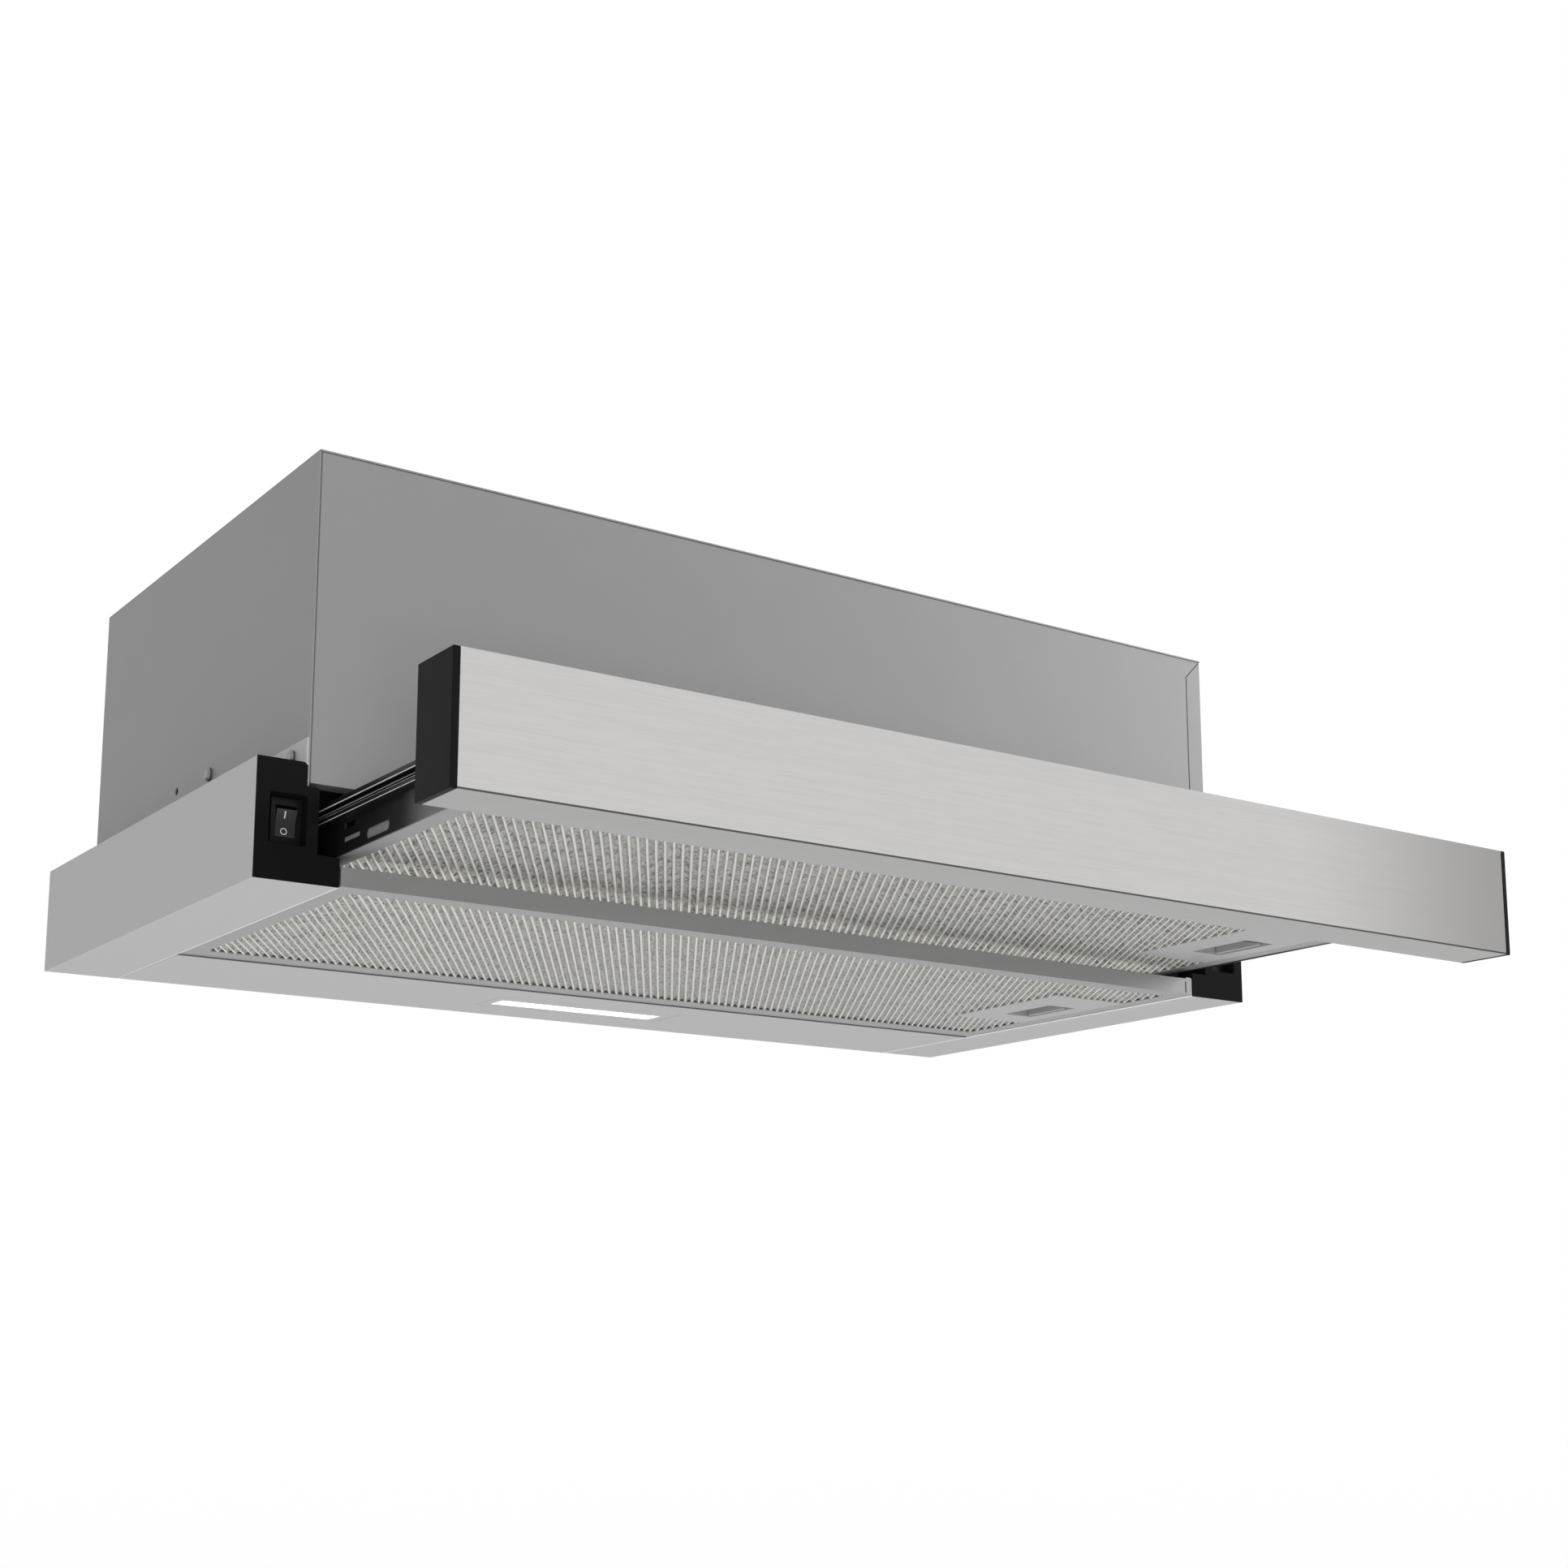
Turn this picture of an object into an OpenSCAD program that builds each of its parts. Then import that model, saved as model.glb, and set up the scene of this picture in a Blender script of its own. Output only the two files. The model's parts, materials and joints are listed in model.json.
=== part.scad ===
// Pull out range hood: a fixed tray with a blower box on it, and a drawer with the front grease filter.
// The drawer is drawn pulled out. The front faces -Y, +Z is up, and the origin is under the middle.

/* [Overall] */
// Width over the side channels
hood_w = 598; // [560:1:898]
// Depth of the tray and of the box above it
tray_d = 288; // [284:1:330]
// Height of the tray and of the visor
tray_h = 54; // [52:1:60]
// Height of the box's top above the underside
box_top = 200; // [197:1:260]
// Width of the ledge beside the box
ledge_w = 24; // [20:0.5:25]
// Travel of the drawer
travel = 154; // [100:1:165]

/* [Sheet metal] */
// Thickness of the sheet steel
sheet = 0.8; // [0.6:0.1:1]
// Width of a side channel's underside
channel_w = 40; // [38:0.5:44]
// Height of the flange that holds the box to a channel
upstand = 12; // [9:0.5:20]
// How far the box's sides reach down into the tray
box_drop = 10; // [7:0.1:10.4]
// Width of the folded flanges
flange_w = 11; // [8:0.5:16]
// Width of the mitred flange at the box's right front edge
mitre_w = 10.6; // [8:0.1:14]
// Width of the open seams between sheets
seam = 0.5; // [0.3:0.05:0.8]

/* [Filters] */
// Depth of the rear strip behind the filter
strip_d = 87.5; // [83:0.5:98]
// Height of a filter frame
filter_h = 9; // [8:0.1:10]
// Height of the drawer filter's underside
drawer_rise = 15; // [14.6:0.1:16]
// Height of the rear filter's underside
rear_rise = 0.6; // [0.3:0.1:1]
// Width of the frame's side margins
margin_side = 10; // [8:0.1:14]
// Width of the frame's front margin
margin_front = 12.3; // [8:0.1:16]
// Width of the frame's back margin
margin_back = 15; // [8:0.1:20]
// Distance between two ridges of the mesh
ridge_pitch = 4.62; // [4:0.01:8]
// Height of a ridge
ridge_h = 4; // [3:0.1:4.5]
// Thickness of the mesh sheet
mesh_t = 0.5; // [0.4:0.05:0.8]
// Length of the latch plate
latch_l = 90.5; // [70:0.5:100]
// Width of the latch plate, from the filter's edge
latch_w = 61; // [52:1:70]
// Travel of the latch slide
latch_travel = 6; // [4:0.5:8]

/* [Drawer] */
// Depth of the visor from front to back
visor_d = 29.5; // [24:0.5:36]
// Thickness of the visor's end caps
cap_t = 3; // [2:0.5:5]
// Gap between the pushed in visor and the tray
visor_gap = 2.5; // [1:0.1:4]
// Thickness of the drawer's side plates
plate_t = 1; // [0.8:0.1:1.2]
// Length of the drawer's side plates
plate_l = 256; // [240:1:258]
// Height of the drawer's side plates
plate_h = 26.5; // [24:0.5:28]

/* [Slides] */
// Depth of a slide, from the drawer's plate to its support
slide_d = 10.4; // [10.2:0.05:10.6]
// Height of the middle of the slides
slide_z = 33.5; // [33:0.1:33.6]
// Height of an outer rail
outer_h = 17.9; // [17.7:0.05:18.1]
// Height of a middle rail
middle_h = 13.2; // [13.15:0.05:13.3]
// Height of an inner rail
inner_h = 8.7; // [8.4:0.05:8.75]
// Thickness of the rails
rail_t = 0.8; // [0.7:0.05:0.9]
// Length of an outer rail
outer_l = 234; // [232:1:240]
// Length of a middle rail
middle_l = 152; // [136:1:154]
// Length of an inner rail
inner_l = 250; // [240:1:252]
// Diameter of the balls
ball_d = 1.3; // [1.1:0.05:1.4]

/* [Brackets and switches] */
// Depth of a bracket from front to back
bracket_d = 22; // [18:0.5:26]
// Depth of the pocket that holds a switch
pocket_d = 8; // [6:0.5:9]
// Width of a switch's bezel
bezel_w = 14.2; // [13.6:0.1:15]
// Height of a switch's bezel
bezel_h = 21.6; // [20:0.1:22.4]
// Width of a rocker
rocker_w = 9.3; // [8:0.1:10]
// Height of a rocker
rocker_h = 12.4; // [11:0.1:13]
// Tilt of a rocker to either side
rocker_tilt = 8; // [5:0.5:9]

/* [Lamp] */
// Width of the lamp's frame
lamp_w = 119; // [100:1:160]
// Depth of the lamp's frame
lamp_d = 31.5; // [28:0.5:40]
// Width of the lens
lens_w = 106; // [80:1:108]
// Depth of the lens
lens_d = 16.2; // [12:0.1:18]

/* [Blower] */
// Diameter of the blower wheel
wheel_d = 110; // [100:1:114]
// Width of the blower wheel
wheel_w = 84; // [70:1:88]
// Number of blades
blades = 36; // [24:1:40]
// Inside width of the scroll
scroll_w = 96; // [92:1:110]
// Smallest radius of the scroll
scroll_r = 60; // [59:0.5:62]
// Growth of the scroll's radius
scroll_growth = 24; // [18:0.5:26]
// Thickness of the scroll's walls
scroll_t = 2; // [1.6:0.1:2.5]
// Diameter of the motor
motor_d = 84; // [70:1:88]
// Length of the motor
motor_l = 58; // [46:1:70]
// Radius of the shaft
shaft_r = 4; // [3:0.5:5]

/* [Outlet] */
// Outer diameter of the outlet collar
collar_d = 120; // [118:1:125]
// Height of the outlet collar
collar_h = 36; // [30:1:50]
// Wall of the outlet collar
collar_t = 2.5; // [2:0.1:3]
// Radius of the flaps' pin
flap_pin_r = 2; // [1.5:0.1:2.5]

/* [Fastening] */
// Distance of the cabinet holes from the box's sides
hang_side = 30; // [22:1:60]
// Distance of the cabinet holes from the box's front and back
hang_end = 34; // [22:1:50]
// Radius of the cabinet holes
hang_r = 2.5; // [2:0.1:3]
// Radius of the gland's bore
gland_r = 4; // [3:0.1:5]
// Radius of the screws' shanks
screw_r = 1.5; // [1.2:0.1:1.8]

/* [Hidden] */

galvanised = [0.62, 0.62, 0.61];
brushed = [0.76, 0.76, 0.75];
black = [0.13, 0.13, 0.14];
white = [0.96, 0.96, 0.93];
grey = [0.45, 0.45, 0.46];

// One overrun for every cut, the clearances, the height of a screw's head and the numbers of facets
cut = 2;
run = 0.06;
slip = 0.1;
play = 0.3;
head_h = 2;
round_fn = 48;
small_fn = 24;

// Places across the hood, measured from its middle
half_w = hood_w / 2;
box_x = half_w - ledge_w;
seam_x = half_w - channel_w;
filter_x = seam_x - seam + slip;
plate_x = filter_x + plate_t;
support_x = plate_x + slide_d;

// Places from front to back, measured from the tray's front
visor_front = -(travel + visor_gap + visor_d);
tray_y = -(tray_d + head_h + visor_front) / 2;
visor_rear = visor_front + visor_d;
box_y = 2;
box_end = tray_d - sheet;
strip_y = tray_d - strip_d;
filter_l = strip_y - seam;
half_travel = travel / 2;

// Heights
box_low = tray_h - box_drop;
panel_lift = 1.5;
panel_low = box_low + panel_lift;
wall_top = box_top - sheet;
plate_reach = 0.5;
plate_low = drawer_rise - plate_reach;
plate_top = plate_low + plate_h;

// Draws a solid between two corners
module block(low, high) { translate(low) cube(high - low); }

// Draws a rectangle between two corners
module leaf(low, high) { translate(low) square(high - low); }

// Extrudes an outline of the X-Z plane from one Y to another
module along_y(low, high) {
    translate([0, high, 0]) rotate([90, 0, 0]) linear_extrude(high - low) children();
}

// Extrudes an outline of the Y-Z plane from one X to another
module along_x(low, high) {
    translate([low, 0, 0]) rotate([90, 0, 90]) linear_extrude(high - low) children();
}

// Puts the origin at the front edge of the tray
module tray_frame() { translate([0, tray_y, 0]) children(); }

// Shapes are drawn on the left or at the back, and mirrored for the right or the front
module on_side(side) { mirror([side > 0 ? 1 : 0, 0, 0]) children(); }
module on_end(end) { mirror([0, end < 0 ? 1 : 0, 0]) children(); }

// Axes of round shapes
module to_x() { rotate([0, 90, 0]) children(); }
module to_y() { rotate([-90, 0, 0]) children(); }

// Screws: head above the surface, shank below it
head_r = 3.4;
shank_l = 6;
hole_r = screw_r + slip;
module screw() {
    rotate_extrude($fn = small_fn)
        polygon([[0, -shank_l], [screw_r, -shank_l], [screw_r, 0], [head_r, 0],
            [head_r, head_h / 2], [head_r - head_h / 2, head_h], [0, head_h]]);
}
module screw_hole() {
    translate([0, 0, -shank_l - cut]) cylinder(r = hole_r, h = shank_l + 2 * cut, $fn = small_fn);
}

// Side channels
channel_screw_back = 18;
channel_screw_rise = 6;
channel_screw = [channel_screw_back, tray_h + channel_screw_rise];
module at_channel_screw() {
    translate([-box_x - sheet, channel_screw[0], channel_screw[1]]) rotate([0, -90, 0]) children();
}
module side_channel(side) {
    color(galvanised) tray_frame() on_side(side) difference() {
        union() {
            along_y(sheet, tray_d) {
                leaf([-half_w, 0], [-seam_x, sheet]);
                leaf([-half_w, 0], [-half_w + sheet, tray_h]);
                leaf([-half_w, tray_h - sheet], [-box_x, tray_h]);
            }
            along_y(box_y, box_end) leaf([-box_x - sheet, tray_h - sheet], [-box_x, tray_h + upstand]);
            along_y(tray_d - sheet, tray_d) leaf([-half_w, 0], [-box_x, tray_h]);
        }
        at_channel_screw() screw_hole();
    }
}

// Slide supports, between the channels and the box
support_over = 2.8;
support_top = slide_z + outer_h / 2 + support_over;
support_foot = 8;
support_lip = 8;
module slide_support(side) {
    color(galvanised) tray_frame() on_side(side) along_y(bracket_d, box_end - 2 * sheet - slip) {
        leaf([-support_x - sheet, sheet], [-support_x, support_top]);
        leaf([-support_x, sheet], [-support_x + support_foot, 2 * sheet]);
        leaf([-box_x + sheet, support_top - sheet], [-support_x, support_top]);
        leaf([-box_x + sheet, support_top - sheet], [-box_x + 2 * sheet, support_top + support_lip]);
    }
}

// Box
side_screw = [122, 75];
side_hole = [167, 76];
side_hole_r = 2;
return_w = 10;
module at_side_screw() {
    translate([-box_x, side_screw[0], side_screw[1]]) rotate([0, -90, 0]) children();
}
module box_side_shell() {
    difference() {
        union() {
            block([-box_x, box_y, box_low], [-box_x + sheet, box_end - sheet, wall_top]);
            block([-box_x, box_end - 2 * sheet, box_low], [-box_x + flange_w, box_end - sheet, wall_top]);
            block([-box_x, box_y + 2 * sheet, wall_top - sheet],
                [-box_x + flange_w, box_end - sheet, wall_top]);
        }
        at_side_screw() screw_hole();
        at_channel_screw() screw_hole();
        translate([-box_x, side_hole[0], side_hole[1]]) to_x()
            cylinder(r = side_hole_r, h = 2 * cut, center = true, $fn = small_fn);
    }
}
module box_side_left() {
    color(galvanised) tray_frame() {
        box_side_shell();
        block([-box_x, box_y + sheet, panel_low + sheet + slip],
            [-box_x + flange_w, box_y + 2 * sheet, wall_top]);
    }
}
module box_side_right() {
    color(galvanised) tray_frame() {
        on_side(1) box_side_shell();
        along_y(box_y, box_y + sheet) polygon([[box_x, panel_low], [box_x, wall_top],
            [box_x - mitre_w, wall_top - mitre_w], [box_x - mitre_w, panel_low]]);
    }
}
module front_panel() {
    left = -box_x + sheet + seam;
    right = box_x - mitre_w - seam;
    color(galvanised) tray_frame() {
        along_y(box_y, box_y + sheet) polygon([[left, panel_low], [right, panel_low],
            [right, wall_top - mitre_w], [right + mitre_w, wall_top], [left, wall_top]]);
        block([left, box_y, panel_low], [right, box_y + return_w, panel_low + sheet]);
        block([-box_x + flange_w + seam, box_y, wall_top - sheet],
            [box_x - flange_w - seam, box_y + return_w, wall_top]);
        block([right - sheet, box_y, panel_low], [right, box_y + return_w, wall_top - mitre_w]);
    }
}
outlet_r = collar_d / 2 - collar_t;
top_overhang = 0.6;
module at_hang_holes() {
    for (x = [-1, 1], y = [-1, 1])
        translate([x * (box_x - hang_side), tray_d / 2 + y * (tray_d / 2 - hang_end), box_top])
            children();
}
module top_panel() {
    color(galvanised) tray_frame() difference() {
        block([-box_x, box_y - top_overhang, wall_top], [box_x, box_end, box_top]);
        translate([0, outlet_y, wall_top - cut]) cylinder(r = outlet_r, h = 2 * cut + sheet, $fn = round_fn);
        at_hang_holes() translate([0, 0, -cut]) cylinder(r = hang_r, h = 2 * cut, $fn = small_fn);
        at_gland() translate([0, 0, -cut]) cylinder(r = gland_body_r + slip, h = 2 * cut, $fn = small_fn);
        at_collar_screws() screw_hole();
    }
}
back_screw_side = 95;
back_screw_x = box_x - back_screw_side;
back_screw_z = tray_h + upstand / 2;
module at_back_screws() {
    for (side = [-1, 1])
        translate([side * back_screw_x, tray_d, back_screw_z]) to_y() children();
}
module back_panel() {
    color(galvanised) tray_frame() difference() {
        union() {
            block([-box_x, box_end - sheet, box_low], [box_x, box_end, wall_top]);
            block([-support_x + flange_w, box_end - return_w, box_low],
                [support_x - flange_w, box_end, box_low + sheet]);
        }
        at_back_screws() screw_hole();
    }
}

// Rear strip with the lamp
strip_x = seam_x - seam;
strip_lip = 12;
lamp_front = 25.5;
lamp_y = strip_y + lamp_front;
module rear_strip() {
    color(galvanised) tray_frame() difference() {
        union() {
            block([-strip_x, strip_y, 0], [strip_x, tray_d, sheet]);
            block([-strip_x, strip_y, 0], [strip_x, strip_y + sheet, strip_lip]);
            block([-strip_x, tray_d - sheet, 0], [strip_x, tray_d, tray_h + upstand]);
        }
        block([-lamp_w / 2 - play, lamp_y - play, -cut], [lamp_w / 2 + play, lamp_y + lamp_d + play, cut]);
        at_back_screws() screw_hole();
    }
}
lamp_t = 1.6;
lamp_rim = 3;
lamp_inset = 1;
lamp_wall = 1.2;
lamp_h = 10;
lens_shift = 11;
lens_y = lamp_y + lens_shift;
lens_drop = 0.3;
lens_lip = 2;
lens_lip_t = 1;
module lamp_frame() {
    color(grey) tray_frame() difference() {
        union() {
            block([-lamp_w / 2, lamp_y, 0], [lamp_w / 2, lamp_y + lamp_d, lamp_t]);
            block([-lamp_w / 2 - lamp_rim, lamp_y - lamp_rim, sheet],
                [lamp_w / 2 + lamp_rim, lamp_y + lamp_d + lamp_rim, lamp_t]);
            block([-lamp_w / 2 + lamp_inset, lamp_y + lamp_inset, lamp_t],
                [lamp_w / 2 - lamp_inset, lamp_y + lamp_d - lamp_inset, lamp_h]);
        }
        block([-lamp_w / 2 + lamp_inset + lamp_wall, lamp_y + lamp_inset + lamp_wall, lamp_t],
            [lamp_w / 2 - lamp_inset - lamp_wall, lamp_y + lamp_d - lamp_inset - lamp_wall, lamp_h + cut]);
        block([-lens_w / 2, lens_y, -cut], [lens_w / 2, lens_y + lens_d, lamp_h]);
    }
}
module lamp_lens() {
    color(white) tray_frame() {
        block([-lens_w / 2 + slip, lens_y + slip, lens_drop],
            [lens_w / 2 - slip, lens_y + lens_d - slip, lamp_t]);
        block([-lens_w / 2 - lens_lip, lens_y - lens_lip, lamp_t],
            [lens_w / 2 + lens_lip, lens_y + lens_d + lens_lip, lamp_t + lens_lip_t]);
    }
}
board_t = 1.2;
diode = 3;
diode_h = 1;
diodes = 10;
module lamp_board() {
    color(grey) tray_frame() {
        block([-lamp_w / 2 + lamp_inset, lamp_y + lamp_inset, lamp_h],
            [lamp_w / 2 - lamp_inset, lamp_y + lamp_d - lamp_inset, lamp_h + board_t]);
        for (i = [0 : diodes - 1])
            translate([(i + 0.5 - diodes / 2) * lens_w / diodes, lens_y + lens_d / 2, lamp_h - diode_h])
                translate([-diode / 2, -diode / 2, 0]) cube([diode, diode, diode_h]);
    }
}

// Telescopic slides: C shaped rails, one in the other, with balls in cages between them
rail_front = 40;
outer_web = support_x;
middle_gap = 1;
middle_web = outer_web - rail_t - middle_gap;
outer_depth = 7.4;
middle_depth = 7;
inner_depth = 5.6;
outer_lip = 1;
middle_lip = 0.8;
inner_lip = 1.6;
module rail_profile(web, depth, height, lip) {
    leaf([-web, -height / 2], [-web + rail_t, height / 2]);
    for (end = [0, 1]) mirror([0, end]) {
        leaf([-web, height / 2 - rail_t], [-web + depth, height / 2]);
        leaf([-web + depth - rail_t, height / 2 - rail_t - lip], [-web + depth, height / 2]);
    }
}
module outer_rail(side) {
    color(black) tray_frame() on_side(side) translate([0, 0, slide_z])
        along_y(rail_front, rail_front + outer_l)
            rail_profile(outer_web, outer_depth, outer_h, outer_lip);
}
middle_lag = 79;
middle_front = rail_front + middle_lag - half_travel;
module middle_rail(side) {
    color(black) tray_frame() on_side(side) translate([0, 0, slide_z])
        along_y(middle_front, middle_front + middle_l)
            rail_profile(middle_web, middle_depth, middle_h, middle_lip);
}
window_front = -15.2;
window_l = 11;
window_low = 25.2;
window_h = 3.2;
oval_front = -50;
oval_l = 24;
oval_low = 16.4;
oval_h = 4.8;
inner_lead = 36;
inner_front = rail_front - inner_lead - travel;
module inner_rail(side) {
    color(black) tray_frame() on_side(side) translate([0, 0, slide_z])
        along_y(inner_front, inner_front + inner_l) mirror([1, 0])
            rail_profile(-plate_x, inner_depth, inner_h, inner_lip);
}
cage_t = 0.5;
outer_cage_l = 105;
inner_cage_l = 52;
cage_pitch = 15;
outer_cage_lag = 6;
outer_cage_front = rail_front + outer_cage_lag;
inner_cage_lag = 2;
inner_cage_front = middle_front + inner_cage_lag;
outer_row = (outer_h - 2 * rail_t + middle_h) / 4;
inner_row = (middle_h - 2 * rail_t + inner_h) / 4;
cage_depth = 4.8;
module cage(web, row, front, length) {
    along_y(front, front + length) {
        leaf([-web, -row - cage_t / 2], [-web + cage_t, row + cage_t / 2]);
        for (z = [-row, row]) leaf([-web, z - cage_t / 2], [-web + cage_depth, z + cage_t / 2]);
    }
    for (y = [front + cage_pitch / 2 : cage_pitch : front + length], z = [-row, row])
        translate([-web + cage_depth / 2, y, z]) sphere(d = ball_d, $fn = small_fn);
}
module ball_cage(side) {
    color(brushed) tray_frame() on_side(side) translate([0, 0, slide_z]) {
        cage(outer_web - rail_t - (middle_gap - cage_t) / 2, outer_row, outer_cage_front, outer_cage_l);
        cage(middle_web - rail_t - play, inner_row, inner_cage_front, inner_cage_l);
    }
}

// Black brackets at the fronts of the channels, each with a switch in a pocket
bracket_t = sheet;
bracket_wall = 1.6;
shoulder_drop = 0.7;
shoulder_z = box_low - shoulder_drop;
foot_top = 13.2;
foot_gap = 0.4;
foot_x = seam_x + foot_gap;
nose_gap = 1;
nose_x = box_x + nose_gap;
pocket_w = 17.5;
pocket_low = 16;
pocket_h = 23;
pocket_inset = 6.2;
pocket_out = half_w - pocket_inset;
pocket_r = 1.5;
floor_t = 2;
corner_r = 2;
bezel_out = pocket_out - pocket_w + bezel_w;
bezel_lift = 0.8;
bezel_low = pocket_low + bezel_lift;
bezel_t = 1.6;
module bracket_outline(inset) {
    polygon(concat(
        [[-foot_x, inset], [-half_w + inset, inset], [-half_w + inset, tray_h - inset]],
        corner([-nose_x - corner_r, tray_h - inset - corner_r], 90),
        [[-nose_x, shoulder_z]],
        corner([-support_x - corner_r, shoulder_z - corner_r], 90),
        [[-support_x, foot_top], [-foot_x, foot_top]]));
}
function corner(centre, start) =
    [for (a = [start : -15 : start - 90]) centre + corner_r * [cos(a), sin(a)]];
module rounded(low, high, r) {
    leaf(low + [r, 0], high - [r, 0]);
    leaf(low + [0, r], high - [0, r]);
    for (x = [low[0] + r, high[0] - r], z = [low[1] + r, high[1] - r])
        translate([x, z]) circle(r, $fn = small_fn);
}
stem_w = 12.6;
stem_h = 18.6;
stem_d = 18;
stem_x = bezel_out - bezel_w / 2;
stem_z = bezel_low + bezel_h / 2;
module switch_bracket(side) {
    color(black) tray_frame() on_side(side) difference() {
        union() {
            along_y(0, bracket_t) bracket_outline(0);
            along_y(bracket_t, bracket_d) bracket_outline(sheet + slip);
        }
        along_y(-cut, pocket_d) rounded([-pocket_out, pocket_low],
            [-pocket_out + pocket_w, pocket_low + pocket_h], pocket_r);
        block([-half_w + sheet + slip + bracket_wall, pocket_d + floor_t, sheet + slip + bracket_wall],
            [-nose_x - bracket_wall, bracket_d + cut, tray_h - sheet - slip - bracket_wall]);
        block([-half_w + sheet + slip + bracket_wall, pocket_d + floor_t, sheet + slip + bracket_wall],
            [-support_x - bracket_wall, bracket_d + cut, shoulder_z - bracket_wall]);
        block([-stem_x - stem_w / 2 - slip, pocket_d - cut, stem_z - stem_h / 2 - slip],
            [-stem_x + stem_w / 2 + slip, bracket_d, stem_z + stem_h / 2 + slip]);
    }
}
aperture_w = rocker_w + 2 * play;
aperture_over = 2;
aperture_h = rocker_h + aperture_over;
pivot_depth = 3;
pivot_y = pocket_d + pivot_depth;
pivot_r = 1.2;
module switch_body(side) {
    color(black) tray_frame() on_side(side) difference() {
        union() {
            block([-bezel_out, pocket_d - bezel_t, bezel_low],
                [-bezel_out + bezel_w, pocket_d, bezel_low + bezel_h]);
            block([-stem_x - stem_w / 2, pocket_d, stem_z - stem_h / 2],
                [-stem_x + stem_w / 2, pocket_d + stem_d, stem_z + stem_h / 2]);
        }
        block([-stem_x - aperture_w / 2, -cut, stem_z - aperture_h / 2],
            [-stem_x + aperture_w / 2, pocket_d + stem_d - floor_t, stem_z + aperture_h / 2]);
        translate([-stem_x, pivot_y, stem_z]) to_x()
            cylinder(r = pivot_r + run, h = stem_w + cut, center = true, $fn = small_fn);
    }
}
rocker_front = 5;
rocker_dip = 1.2;
rocker_back = 1.6;
module rocker(side) {
    color(black) tray_frame() on_side(side) translate([-stem_x, pivot_y, stem_z]) {
        rotate([rocker_tilt, 0, 0]) along_x(-rocker_w / 2, rocker_w / 2)
            polygon([[-rocker_front, rocker_h / 2], [-rocker_front + rocker_dip, 0],
                [-rocker_front, -rocker_h / 2], [0, -rocker_h / 2], [rocker_back, -rocker_h / 4],
                [rocker_back, rocker_h / 4], [0, rocker_h / 2]]);
        to_x() cylinder(r = pivot_r, h = stem_w - 2 * slip, center = true, $fn = small_fn);
    }
}

// Filter, drawn with its underside at zero height and its front edge at the origin
frame_t = 0.8;
lip_t = frame_t;
top_lip = 6;
mesh_grip = 4;
corner_w = 4.2;
corner_rise = 0.7;
post_r = 1.4;
slit_w = 0.9;
slit_rise = 0.8;
slit_h = 6.6;
latch_y = 46;
latch_x = filter_x - latch_w;
bolt_y = 108.5;
bolt_w = 10;
bolt_low = 3.2;
bolt_h = 1.8;
bolt_play = 2 * slip;
function post_top() = [for (a = [0 : 15 : 90])
    [filter_x - post_r, filter_h + corner_rise - post_r] + post_r * [cos(a), sin(a)]];
module filter_frame() {
    difference() {
        union() {
            difference() {
                block([-filter_x, 0, 0], [filter_x, filter_l, filter_h]);
                block([-filter_x + frame_t, frame_t, lip_t],
                    [filter_x - frame_t, filter_l - frame_t, filter_h - frame_t]);
                block([-filter_x + margin_side, margin_front, -cut],
                    [filter_x - margin_side, filter_l - margin_back, filter_h]);
                block([-filter_x + top_lip, top_lip, lip_t],
                    [filter_x - top_lip, filter_l - top_lip, filter_h + cut]);
            }
            along_y(0, frame_t) polygon(concat([[filter_x - corner_w, 0]],
                [[filter_x, 0]], post_top(), [[filter_x - corner_w, filter_h + corner_rise]]));
        }
        block([filter_x - corner_w - slit_w, -cut, slit_rise],
            [filter_x - corner_w, frame_t, slit_rise + slit_h]);
        block([filter_x - cut, bolt_y - bolt_w / 2 - bolt_play, bolt_low - bolt_play],
            [filter_x + cut, bolt_y + bolt_w / 2 + bolt_play, bolt_low + bolt_h + bolt_play]);
    }
}
tongue_w = 15;
module tongues(length, low, thick, places) {
    for (y = places)
        block([-filter_x - length, y - tongue_w / 2, low], [-filter_x, y + tongue_w / 2, low + thick]);
}
wave_shares = [[0, 0], [0.2, 0], [0.5, 1], [0.7, 1]];
mesh_x = filter_x - margin_side + mesh_grip;
ridges = floor(2 * mesh_x / ridge_pitch);
function wave(rise) = [for (i = [0 : ridges - 1], share = wave_shares)
    [(i + share[0] - ridges / 2) * ridge_pitch, lip_t + share[1] * (ridge_h - mesh_t) + rise]];
function reversed(list) = [for (i = [len(list) - 1 : -1 : 0]) list[i]];
module filter_mesh() {
    difference() {
        along_y(margin_front - mesh_grip, filter_l - margin_back + mesh_grip)
            polygon(concat(wave(0), reversed(wave(mesh_t))));
        block([latch_x - play, latch_y - play, 0], [filter_x, latch_y + latch_l + play, filter_h]);
    }
}
lug_t = 2;
lug_low = 0.6;
lug_start = 8;
plate_skin = 1.2;
dish_w = 20;
dish_l = 40;
dish_inset = 30.6;
dish_x = filter_x - dish_inset;
dish_start = 29;
lug_x = dish_x + dish_w / 2 - play;
dish_y = latch_y + dish_start;
dish_d = 6.8;
dish_run = 29;
dish_lip = 0.6;
dish_slope = (dish_d - dish_lip) / dish_run;
dish_wall = 1;
module dish_outline(grow, low) {
    polygon([[dish_y - grow, low], [dish_y + dish_l + grow, low], [dish_y + dish_l + grow, dish_d + grow],
        [dish_y + dish_run - grow, dish_d + grow], [dish_y - grow, dish_lip + grow]]);
}
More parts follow.
